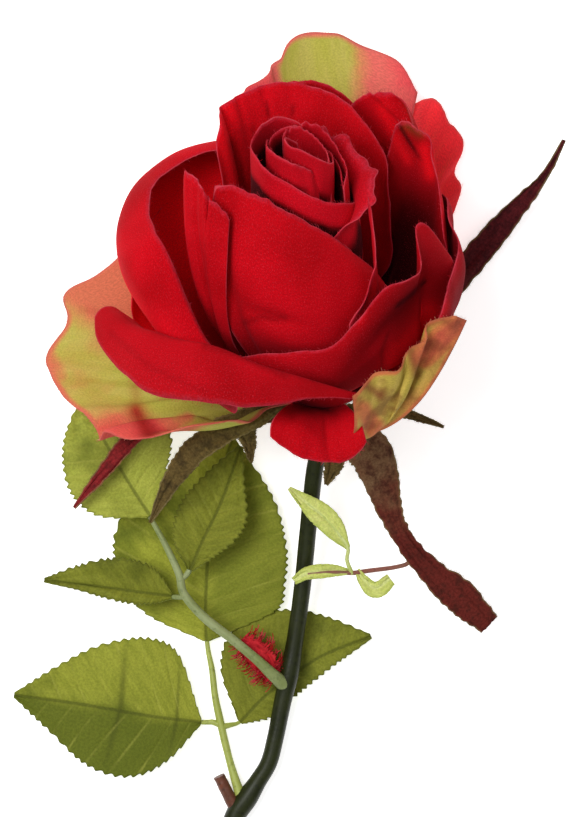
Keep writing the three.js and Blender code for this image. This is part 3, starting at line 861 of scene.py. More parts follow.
class Trees:
    """The geometry node trees, each made once."""

    _made: dict[str, Tree] = {}

    @staticmethod
    def _new(name: str, inputs: Sequence[tuple[str, str, object]]) -> tuple[Nodes, Node, Node]:
        """Starts a tree with named inputs.

        Args:
            name: the tree's name.
            inputs: name, socket type and default of each input.

        Returns:
            The tree's nodes, its input node and its output node.
        """
        tree = bpy.data.node_groups.new(name, "GeometryNodeTree")
        tree.interface.new_socket(name="Geometry", in_out="INPUT", socket_type="NodeSocketGeometry")
        for title, kind, default in inputs:
            socket = tree.interface.new_socket(name=title, in_out="INPUT", socket_type=kind)
            if default is not None:
                socket.default_value = default
        tree.interface.new_socket(name="Geometry", in_out="OUTPUT", socket_type="NodeSocketGeometry")
        nodes = Nodes(tree)
        return nodes, nodes.add("NodeGroupInput"), nodes.add("NodeGroupOutput")

    @classmethod
    def bar(cls) -> Tree:
        """Tree that sweeps a round section along curves, with a low uneven skin.

        Returns:
            The tree, with inputs Step, Sides, Bump, Pitch and Material.
        """
        if "bar" in cls._made:
            return cls._made["bar"]
        nodes, given, out = cls._new("round_bar", [
            ("Step", "NodeSocketFloat", 0.001),
            ("Sides", "NodeSocketInt", 20),
            ("Bump", "NodeSocketFloat", 0.0001),
            ("Pitch", "NodeSocketFloat", 150.0),
            ("Material", "NodeSocketMaterial", None),
        ])
        spaced = nodes.fed("GeometryNodeResampleCurve", {
            "Curve": given.outputs["Geometry"], "Length": given.outputs["Step"]}, mode="LENGTH")
        circle = nodes.fed("GeometryNodeCurvePrimitiveCircle", {
            "Resolution": given.outputs["Sides"], "Radius": 1.0}, mode="RADIUS")
        swept = nodes.fed("GeometryNodeCurveToMesh", {
            "Curve": spaced.outputs["Curve"], "Profile Curve": circle.outputs["Curve"],
            "Scale": nodes.add("GeometryNodeInputRadius").outputs[0], "Fill Caps": True})
        lump = nodes.noise(None, given.outputs["Pitch"], 2.0)
        height = nodes.math("MULTIPLY", nodes.math("SUBTRACT", lump, 0.5), given.outputs["Bump"])
        push = nodes.fed("ShaderNodeVectorMath", {
            0: nodes.add("GeometryNodeInputNormal").outputs[0], "Scale": height}, operation="SCALE")
        moved = nodes.fed("GeometryNodeSetPosition", {
            "Geometry": swept.outputs["Mesh"], "Offset": push.outputs[0]})
        cls._finish(nodes, moved.outputs["Geometry"], given, out)
        cls._made["bar"] = nodes.tree
        return nodes.tree

    @classmethod
    def fringe(cls) -> Tree:
        """Tree that sets frayed threads along an edge line.

        Returns:
            The tree, with inputs Spacing, Shortest, Longest, Thickness, Spread, Seed and Material.
        """
        if "fringe" in cls._made:
            return cls._made["fringe"]
        nodes, given, out = cls._new("frayed_edge", [
            ("Spacing", "NodeSocketFloat", 0.001),
            ("Shortest", "NodeSocketFloat", 0.0004),
            ("Longest", "NodeSocketFloat", 0.0012),
            ("Thickness", "NodeSocketFloat", 0.00005),
            ("Spread", "NodeSocketFloat", 0.8),
            ("Seed", "NodeSocketInt", 1),
            ("Material", "NodeSocketMaterial", None),
        ])
        line = nodes.fed("GeometryNodeMeshToCurve", {"Mesh": given.outputs["Geometry"]})
        spaced = nodes.fed("GeometryNodeResampleCurve", {
            "Curve": line.outputs["Curve"], "Length": given.outputs["Spacing"]}, mode="LENGTH")
        thread = nodes.fed("GeometryNodeCurveQuadraticBezier", {
            "Resolution": 4, "Start": (0.0, 0.0, -0.1), "Middle": (0.12, 0.0, 0.5), "End": (-0.18, 0.1, 1.0)})
        ratio = nodes.math("DIVIDE", given.outputs["Thickness"], given.outputs["Longest"])
        section = nodes.fed("GeometryNodeCurvePrimitiveCircle", {"Resolution": 3, "Radius": ratio},
                            mode="RADIUS")
        round_thread = nodes.fed("GeometryNodeCurveToMesh", {
            "Curve": thread.outputs["Curve"], "Profile Curve": section.outputs["Curve"], "Fill Caps": True})
        out_way = nodes.fed("GeometryNodeInputNamedAttribute", {"Name": "outward"}, data_type="FLOAT_VECTOR")
        stray = nodes.fed("FunctionNodeRandomValue", {
            "Min": (-1.0, -1.0, -1.0), "Max": (1.0, 1.0, 1.0), "Seed": given.outputs["Seed"]},
            data_type="FLOAT_VECTOR")
        part = nodes.fed("ShaderNodeVectorMath", {0: stray.outputs[0], "Scale": given.outputs["Spread"]},
                         operation="SCALE")
        way = nodes.fed("ShaderNodeVectorMath", {0: out_way.outputs[0], 1: part.outputs[0]}, operation="ADD")
        turn = nodes.fed("FunctionNodeAlignRotationToVector", {"Vector": way.outputs[0]}, axis="Z")
        length = nodes.add("FunctionNodeRandomValue", data_type="FLOAT")
        sockets = [s for s in length.inputs if s.enabled]
        nodes.put(sockets[0], given.outputs["Shortest"])
        nodes.put(sockets[1], given.outputs["Longest"])
        nodes.put(length.inputs["Seed"], given.outputs["Seed"])
        placed = nodes.fed("GeometryNodeInstanceOnPoints", {
            "Points": spaced.outputs["Curve"], "Instance": round_thread.outputs["Mesh"],
            "Rotation": turn.outputs[0], "Scale": [s for s in length.outputs if s.enabled][0]})
        cls._finish(nodes, placed.outputs["Instances"], given, out)
        cls._made["fringe"] = nodes.tree
        return nodes.tree

    @staticmethod
    def _finish(nodes: Nodes, made: Socket, given: Node, out: Node) -> None:
        """Ends a tree: realized, smooth and with its material.

        Args:
            nodes: the tree's nodes.
            made: what the tree has made.
            given: the tree's input node.
            out: the tree's output node.
        """
        real = nodes.fed("GeometryNodeRealizeInstances", {"Geometry": made})
        soft = nodes.fed("GeometryNodeSetShadeSmooth", {"Geometry": real.outputs["Geometry"]})
        dressed = nodes.fed("GeometryNodeSetMaterial", {
            "Geometry": soft.outputs["Geometry"], "Material": given.outputs["Material"]})
        nodes.put(out.inputs[0], dressed.outputs["Geometry"])

    @staticmethod
    def run(obj: Piece, tree: Tree, name: str, **values: object) -> Piece:
        """Runs a tree on an object and keeps the result as a plain mesh.

        Args:
            obj: curve or mesh that the tree starts from. It is removed.
            tree: the tree.
            name: name of the result.
            values: the tree's inputs by name.

        Returns:
            The resulting object.
        """
        modifier = obj.modifiers.new("made", "NODES")
        modifier.node_group = tree
        ids = {s.name: s.identifier for s in tree.interface.items_tree if s.in_out == "INPUT"}
        for title, value in values.items():
            modifier[ids[title]] = value
        graph = bpy.context.evaluated_depsgraph_get()
        mesh = bpy.data.meshes.new_from_object(obj.evaluated_get(graph), depsgraph=graph)
        mesh.name = name
        result = bpy.data.objects.new(name, mesh)
        bpy.context.scene.collection.objects.link(result)
        bpy.data.objects.remove(obj)
        return result


@dataclass
class Dresser:
    """Gives each finished piece its material and body, hides its nodes, and counts it."""

    finishes: dict[str, Material] = field(default_factory=dict)
    pieces: list[Piece] = field(default_factory=list)

    def material(self, finish: Finish) -> Material:
        """The material of a finish, made once.

        Args:
            finish: the finish.

        Returns:
            Its material.
        """
        if finish.name not in self.finishes:
            self.finishes[finish.name] = finish.build()
        return self.finishes[finish.name]

    def dress(self, piece: Piece, finish: Finish,
              nodes: Iterable[str]) -> Piece:
        """Dresses a piece.

        Args:
            piece: the finished object.
            finish: its finish.
            nodes: the solids that it replaces.

        Returns:
            The piece.
        """
        piece.data.materials.clear()
        piece.data.materials.append(self.material(finish))
        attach(piece, BODY)
        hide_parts(*nodes)
        self.pieces.append(piece)
        LOG.info("%s: %d faces, %s", piece.name, len(piece.data.polygons), finish.name)
        return piece


def line_curve(name: str, points: Array, radii: Array) -> Piece:
    """Makes an open curve with a radius at each point.

    Args:
        name: the curve's name.
        points: one point a row, in millimetres.
        radii: one radius for each point, in millimetres.

    Returns:
        The curve object.
    """
    curve = bpy.data.curves.new(name, "CURVE")
    curve.dimensions = "3D"
    spline = curve.splines.new("POLY")
    spline.points.add(len(points) - 1)
    rows = np.concatenate([points * MM, np.ones((len(points), 1))], axis=1)
    spline.points.foreach_set("co", rows.ravel())
    spline.points.foreach_set("radius", np.asarray(radii, dtype=float) * MM)
    obj = bpy.data.objects.new(name, curve)
    bpy.context.scene.collection.objects.link(obj)
    return obj


@dataclass
class Bar:
    """A round bar of plastic along the plan sheet, swept by the bar tree."""

    name: str
    stations: Sequence[Station]
    radii: Sequence[float]
    finish: Finish
    slot: str
    node: str
    bump: float = 0.12
    pitch: float = 180.0
    sides: int = 20
    step: float = 0.8

    def make(self, dresser: Dresser) -> Piece:
        """Sweeps and dresses the bar.

        Args:
            dresser: who dresses the piece.

        Returns:
            The piece.
        """
        t = np.linspace(0, 1, 12 * len(self.stations))
        points = through_points(SHEET.place(self.stations), t)
        curve = line_curve(self.name + "_line", points, through(self.radii, t))
        piece = Trees.run(curve, Trees.bar(), self.name, Step=self.step * MM, Sides=self.sides,
                          Bump=self.bump * MM, Pitch=self.pitch)
        return dresser.dress(piece, self.finish, [self.node])


@dataclass
class Fringe:
    """Frayed threads along an edge of cloth."""

    name: str
    finish: Finish
    slot: str
    node: str
    spacing: float = 0.9
    shortest: float = 0.3
    longest: float = 1.0
    thickness: float = 0.045
    spread: float = 0.8
    seed: int = 5

    def make(self, edges: Sequence[tuple[Array, Array]], dresser: Dresser) -> Piece:
        """Sets threads along the edges.

        Args:
            edges: for each edge its points, in millimetres, and the outward directions there.
            dresser: who dresses the piece.

        Returns:
            The piece.
        """
        mesh = bpy.data.meshes.new(self.name + "_line")
        verts = np.concatenate([points for points, _ in edges])
        outward = np.concatenate([ways for _, ways in edges])
        links: list[tuple[int, int]] = []
        start = 0
        for points, _ in edges:
            links.extend((start + k, start + k + 1) for k in range(len(points) - 1))
            start += len(points)
        mesh.from_pydata((verts * MM).tolist(), links, [])
        attribute = mesh.attributes.new("outward", "FLOAT_VECTOR", "POINT")
        attribute.data.foreach_set("vector", outward.astype(np.float32).ravel())
        obj = bpy.data.objects.new(self.name + "_line", mesh)
        bpy.context.scene.collection.objects.link(obj)
        piece = Trees.run(obj, Trees.fringe(), self.name, Spacing=self.spacing * MM,
                          Shortest=self.shortest * MM,
                          Longest=self.longest * MM, Thickness=self.thickness * MM, Spread=self.spread,
                          Seed=self.seed)
        return dresser.dress(piece, self.finish, [self.node])


@dataclass(frozen=True)
class Crease:
    """A fold pressed into a petal: where it is, how wide and deep, and how far up it runs."""

    across: float
    width: float = 0.03
    depth: float = 0.8
    start: float = 0.3
    end: float = 0.98
    slant: float = 0.0


class StrokeKind(Enum):
    """What a stroke paints: shade, light, stain (on the left guard petal also fold shade), or blush."""

    SHADE = "shade"
    GLOW = "glow"
    STAIN_AND_FOLD_SHADE = "stain"
    BLUSH = "blush"


@dataclass(frozen=True)
class Stroke:
    """A soft stroke of painted shade, painted light, stain or blush along a line that is drawn on the plan
    sheet.
    """

    paint_kind: StrokeKind
    line: Sequence[Station]
    width: float
    strength: float = 1.0

    def at(self, across: Array, down: Array) -> Array:
        """Strength of the stroke.

        Args:
            across: squares across the plan sheet.
            down: squares down the plan sheet.

        Returns:
            The strength at each place.
        """
        off = np.full(across.shape, np.inf)
        for (x0, y0), (x1, y1) in zip(self.line[:-1], self.line[1:]):
            dx, dy = x1 - x0, y1 - y0
            t = np.clip(((across - x0) * dx + (down - y0) * dy) / (dx * dx + dy * dy), 0, 1)
            off = np.minimum(off, np.hypot(across - x0 - t * dx, down - y0 - t * dy))
        return self.strength * np.exp(-(off / self.width) ** 2)


@dataclass
class Petal:
    """One moulded cloth petal of the bloom.

    A place on it is a, 0 to 1 from one side edge to the other, and b, 0 at the root to 1 at the rim. The rim
    holds [bearing, radius, height], the root, hip and shoulder [radius, height], a bend its height b, width,
    depth, place a and spread. Lips, crest, stain, painted light and blush change with a, painted shade and
    the rows of painted light with b. Sink is the two distances from the rim between which the painted shade
    deepens.
    """

    name: str
    rim: Sequence[Station]
    hip: Station
    shoulder: Station
    root: Station = (6.0, 6.0)
    waist: float = 0.5
    opening: float = 1.5
    corner: float = 0.12
    lips: Sequence[float] = (0.0, 0.0)
    lip_from: float = 0.7
    dip: float = 0.3
    wave: Station = (0, 3, 0)
    crest: Sequence[float] = (0.0, 0.0)
    shift: Station = (0.0, 0.0)
    narrowing: Optional[float] = None
    ruffle: float = 0.3
    crumple: float = 0.35
    pleats: float = 0.35
    ragged: float = 0.12
    fuzz: float = 0.0
    stain: Sequence[float] = (0.0, 0.0)
    stain_from: float = 0.92
    # Painted shade along b and below the rim between the sink distances, and painted light across a and along
    # b.
    shade: Sequence[float] = (1.0, 1.0, 0.6, 0.1, 0.0, 0.0)
    sink: Station = (30.0, 60.0)
    glow: Sequence[float] = (0.0, 0.0)
    painted_light_rows: Sequence[float] = (1.0, 1.0)
    bends: Sequence[Station] = ()
    creases: Sequence[Crease] = ()
    strokes: Sequence[Stroke] = ()
    blush: Sequence[float] = (0.0, 0.0)
    blush_reach: float = 10.0
    blush_from: float = 0.5
    rows: int = 73
    cols: int = 57
    thickness: float = 0.4
    hip_share: float = 0.2
    shoulder_share: float = 0.6
    fine: float = 0.06

    def seed(self) -> int:
        """Seed of the petal's own unevenness."""
        return zlib.crc32(self.name.encode())

    def base(self, a: Array, b: Array) -> Array:
        """The petal's plain surface, the same as its solid's.

        Args:
            a: place across, 0 to 1.
            b: place from root to rim, 0 to 1.

        Returns:
            The points, in millimetres.
        """
        rim = np.array(self.rim, dtype=float)
        middle = (rim[0, 0] + rim[-1, 0]) / 2 if self.narrowing is None else self.narrowing
        mid_r, mid_h = through(rim[:, 1], 0.5), through(rim[:, 2], 0.5)
        u = 2 * a - 1
        v = b * (1 - self.corner * np.abs(u) ** 6)
        rim_r, rim_h = through(rim[:, 1], a), through(rim[:, 2], a)
        r1 = self.hip[0] + self.hip_share * (rim_r - mid_r)
        h1 = self.hip[1] + self.hip_share * (rim_h - mid_h)
        r2 = self.shoulder[0] + self.shoulder_share * (rim_r - mid_r)
        h2 = self.shoulder[1] + self.shoulder_share * (rim_h - mid_h) + through(self.crest, a)
        k = [(1 - v) ** 3, 3 * v * (1 - v) ** 2, 3 * v * v * (1 - v), v ** 3]
        r = k[0] * self.root[0] + k[1] * r1 + k[2] * r2 + k[3] * rim_r
        h = k[0] * self.root[1] + k[1] * h1 + k[2] * h2 + k[3] * rim_h
        s = np.clip((v - self.lip_from) / (1 - self.lip_from), 0, 1)
        lip = through(self.lips, a)
        depth, cycles, phase = self.wave
        r = r + lip * s ** 1.6 + depth * np.sin(math.pi * cycles * u + phase) * v ** 4
        h = h - self.dip * np.abs(lip) * s ** 3
        bearing = middle + (through(rim[:, 0], a) - middle) * (
            self.waist + (1 - self.waist) * smooth(self.opening * v))
        side, front, _ = BLOOM.basis()
        move = smooth(v)[..., None]
        return BLOOM.point(r, bearing, h) + move * (self.shift[0] * side + self.shift[1] * front)

    def surface(self) -> tuple[Array, Array, Array]:
        """The petal's full surface with its folds.

        Returns:
            The grid of points, and the a and b of each.
        """
        a, b = np.meshgrid(np.linspace(0, 1, self.rows), np.linspace(0, 1, self.cols), indexing="ij")
        jag = Ripple(self.seed() + 1, 12, 3.0, 18.0).at(a[:, -1:], 0 * a[:, -1:])
        reach = 1 - self.ragged / 50 * (jag + 1.5)
        points = self.base(a, b * reach)
        normal = MeshMaker.normals(points)
        broad = Ripple(self.seed(), 12, 0.6, 2.2).at(a, b)
        fine = Ripple(self.seed() + 2, 14, 3.0, 8.0).at(a, b)
        lift = self.crumple * broad * smooth(2 * b) + self.fine * fine
        pleats = Ripple(self.seed() + 4, 10, 1.5, 5.0).at(a, 0.25 * b)
        lift = lift + self.pleats * pleats * smooth((b - 0.35) / 0.5)
        curls = Ripple(self.seed() + 3, 8, 2.0, 6.0).at(a, 0 * a)
        lift = lift + self.ruffle * curls * b ** 8
        for crease in self.creases:
            centre = crease.across + crease.slant * (b - crease.end)
            band = smooth((b - crease.start) / 0.15) * smooth((crease.end - b) / 0.1 + 1)
            lift = lift - crease.depth * np.exp(-((a - centre) / crease.width) ** 2) * band
        for height, width, depth, across, spread in self.bends:
            lift = lift - depth * np.exp(-((b - height) / width) ** 2 - ((a - across) / spread) ** 2)
        return points + normal * lift[..., None], a, b

    def edge(self, points: Array) -> tuple[Array, Array]:
        """The rim's line and the direction out of the cloth there."""
        return points[:, -1], unit(points[:, -1] - points[:, -3])

    def make(self, finish: Finish, slot: str, node: str, dresser: Dresser) -> Array:
        """Makes and dresses the petal.

        Args:
            finish: the petal's finish.
            slot: the record's slot; not used.
            node: the solid that it replaces.
            dresser: who dresses it.

        Returns:
            The petal's grid of points.
        """
        points, a, b = self.surface()
        width = np.linalg.norm(np.diff(points[:, int(self.cols * 0.75)], axis=0), axis=-1).sum()
        length = np.linalg.norm(np.diff(points[self.rows // 2], axis=0), axis=-1).sum()
        uv = np.stack([a * width, b * length], axis=-1) / CLOTH_UNIT
        rim = MeshMaker.rim_distance(points, ["first_row", "last_row", "last_col"])
        blush = 1 - smooth(rim / self.blush_reach)
        blush = np.maximum(blush * 0.8, through(self.blush, a) * smooth((b - self.blush_from) / 0.3))
        streak = np.stack([(a - 0.5) * 9 * (0.5 + b), b * 2.5, 0 * a], axis=-1)
        vein = np.abs(np.sin(math.pi * 11 * (a - 0.5) * (0.4 + 0.6 / (0.4 + b)))) ** 10 * smooth(3 * (1 - b))
        # Painted shade: from the shade table, and deeper beyond the sink distances from the rim.
        sunk = (rim - self.sink[0]) / (self.sink[1] - self.sink[0])
        stain_rows = smooth((b - self.stain_from) / (1 - self.stain_from) * 1.4)
        marks = {"petal": np.stack([2 * a - 1, b, rim], axis=-1), "blush": blush, "streak": streak,
                 "vein": vein,
                 "fuzz": smooth(1 - rim / (self.fuzz + 0.01)),
                 "stain": np.clip(through(self.stain, a), 0, 1) * stain_rows,
                 "glow": np.clip(through(self.glow, a) * through(self.painted_light_rows, b), 0, 1),
                 "shade": np.clip(np.maximum(through(self.shade, b), np.clip(sunk, 0, 1)), 0, 1)}
        across, down = SHEET.read(points)
        # Strokes paint shade, light, stains and blush; a stroke of painted light washes out the painted shade
        # under it.
        for stroke in self.strokes:
            paint = np.clip(stroke.at(across, down), 0, 1)
            if stroke.paint_kind is StrokeKind.GLOW:
                marks["shade"] = marks["shade"] * (1 - paint)
            marks[stroke.paint_kind.value] = np.maximum(marks[stroke.paint_kind.value], paint)
        piece = MeshMaker.sheet(self.name, points, self.thickness, uv, marks)
        dresser.dress(piece, finish, [node])
        return points


@dataclass
class Whorl:
    """A ring of petals that shares one solid."""

    name: str
    node: str
    slot: str
    petals: Sequence[Petal]
    finish: Finish
    thread: Finish
    fringe_spacing: float = 0.8
    finishes: dict[str, Finish] = field(default_factory=dict)

    def make(self, dresser: Dresser) -> None:
        """Makes the petals and their frayed edges.

        Args:
            dresser: who dresses the pieces.
        """
        edges = []
        for petal in self.petals:
            finish = self.finishes.get(petal.name, self.finish)
            edges.append(petal.edge(petal.make(finish, self.slot, self.node, dresser)))
        Fringe(self.name + "_frayed_edges", self.thread, self.slot, self.node, self.fringe_spacing,
               seed=len(self.name)).make(edges, dresser)


@dataclass
class Blade:
    """A leaflet, sepal or other cut blade along a midrib on the plan sheet.

    Left and right are the half widths from base to tip; bars of painted rib shadow lie across at the given
    places.
    """

    name: str
    mid: Sequence[Station]
    left: Sequence[float]
    right: Sequence[float]
    finish: Finish
    slot: str
    node: str
    fold: float = 0.0
    droop: float = 0.0
    teeth: int = 0
    tooth: float = 0.36
    veins: int = 0
    wave: float = 0.3
    crumple: float = 0.15
    ragged: float = 0.0
    rib_shadow_places: Sequence[float] = ()
    thickness: float = 0.35
    rows: int = 181
    cols: int = 49
    rib_depth: float = 0.22
    saw_rise: float = 0.7

    def seed(self) -> int:
        """Seed of the blade's own unevenness."""
        return zlib.crc32(self.name.encode())

    def ribs(self, a: Array, x: Array, half: Array, length: float) -> tuple[Array, Array]:
        """Where each point is among the ribs.

        Args:
            a: place from base to tip.
            x: place across, -1 to 1.
            half: half width there, in millimetres.
            length: length of the midrib, in millimetres.

        Returns:
            The rib coordinates (distance from the midrib, count of side ribs passed, distance between
            side ribs), and how near each point is to a rib: 1 on it, falling to 0 beside it.
        """
        off = np.abs(x) * half
        widest = max(max(self.left), max(self.right))
        count = max(self.veins, 1)
        passed = count * (a - 0.2 * (off / widest) ** 0.85) + np.where(x < 0, 0.5, 0.0)
        pitch = length / count if self.veins else 1000.0
        near = np.abs(passed - np.round(passed)) * pitch
        side = np.exp(-(near / 0.4) ** 2) * smooth((1 - np.abs(x)) * 4) * smooth(a * 8)
        middle = np.exp(-(off / (0.7 - 0.3 * a)) ** 2)
        return np.stack([off, passed, pitch + 0 * off], axis=-1), np.maximum(middle, 0.8 * side)

    def surface(self) -> tuple[Array, dict[str, Array], Array]:
        """The blade's grid with its teeth, ribs and waves.

        Returns:
            The points, the named values and the cloth coordinates.
        """
        mid = SHEET.place(self.mid)
        a, c = np.meshgrid(np.linspace(0, 1, self.rows), np.linspace(0, 1, self.cols), indexing="ij")
        x = 2 * c - 1
        spine = through_points(mid, a[:, 0])
        length = float(np.linalg.norm(np.diff(spine, axis=0), axis=-1).sum())
        along = unit(np.gradient(spine, axis=0))
        side = unit(np.cross(along, np.array([0.0, 0.0, 1.0])))
        top = unit(np.cross(side, along))
        half = np.where(x < 0, through(self.left, a), through(self.right, a))
        edge = np.abs(x) ** 10
        off = x * half
        if self.teeth:
            saw = (a * self.teeth + 0.25 * Ripple(self.seed() + 7, 6, 2.0, 7.0).at(a, np.sign(x))) % 1.0
            rise = self.saw_rise
            point = smooth(np.where(saw < rise, saw / rise, (1 - saw) / (1 - rise)))
            size = self.tooth * np.minimum(1, half / 4) * smooth((1 - a) * 20)
            off = off + np.sign(x) * edge * size * (2 * point - 1)
        if self.ragged:
            jag = Ripple(self.seed() + 5, 16, 6.0, 40.0).at(a, np.sign(x) * 0.37)
            off = off + np.sign(x) * edge * self.ragged * jag * np.minimum(1, half / 2)
        rib, near = self.ribs(a, x, half, length)
        lift = self.fold * np.abs(off) - self.droop * off * off
        lift = lift + self.wave * np.sin(5 * math.pi * a + np.where(x < 0, 0.0, 1.3)) * x * x
        lift = lift + self.crumple * Ripple(self.seed(), 14, 1.0, 5.0).at(a, x * 0.5) * smooth(np.abs(x) * 3)
        lift = lift - self.rib_depth * near
        points = spine[:, None] + side[:, None] * off[..., None] + top[:, None] * lift[..., None]
        rim = MeshMaker.rim_distance(points, ["first_col", "last_col"])
        uv = np.stack([off, a * length], axis=-1) / CLOTH_UNIT
        slant = a * length - np.abs(off) * 0.7
        streak = np.stack([slant / 2.2, off / 9, np.sign(x) * 3.0], axis=-1)
        # Bars of painted shadow of the ribs under the cloth, across the blade.
        band = 0 * a
        for place in self.rib_shadow_places:
            band = np.maximum(band, np.exp(-((a - place - 0.03 * np.abs(x)) / 0.014) ** 2) * (1 - x * x))
        marks = {"leaf": np.stack([x, a, rim], axis=-1), "rib": rib, "band": band, "streak": streak}
        return points, marks, uv

    def make(self, dresser: Dresser) -> Array:
        """Makes and dresses the blade.

        Args:
            dresser: who dresses it.

        Returns:
            The blade's grid of points.
        """
        points, marks, uv = self.surface()
        piece = MeshMaker.sheet(self.name, points, self.thickness, uv, marks)
        dresser.dress(piece, self.finish, [self.node])
        return points


RED = PetalFinish("red petal cloth")
HEART_RED = PetalFinish("heart petal cloth", bright=(204, 12, 30), deep=(172, 7, 22), edge_width=0.2)
GUARD = GuardFinish("guard petal cloth")
GUARD_RIGHT = GuardFinish("stained guard petal cloth", middle=(172, 152, 62), pale=(196, 168, 84),
                          blush=(196, 112, 66), deep_blush=(178, 62, 60), rim=(170, 90, 66),
                          fold=(120, 54, 36), spots=0.6)
GUARD_PINK = GuardFinish("pink guard petal cloth", blush=(240, 74, 80), deep_blush=(246, 46, 54))
GUARD_TOP = GuardFinish("top guard petal cloth", blush=(222, 108, 98), deep_blush=(228, 62, 78))
RED_THREAD = ThreadFinish("red thread")
CORE = PlasticFinish("moulded core", roughness=0.85, specular=0.08, main=(92, 30, 24), cloud=(120, 44, 30),
                     speckle=(60, 16, 14))
PALE_THREAD = ThreadFinish("pale thread", main=(220, 150, 120), other=(206, 96, 84))


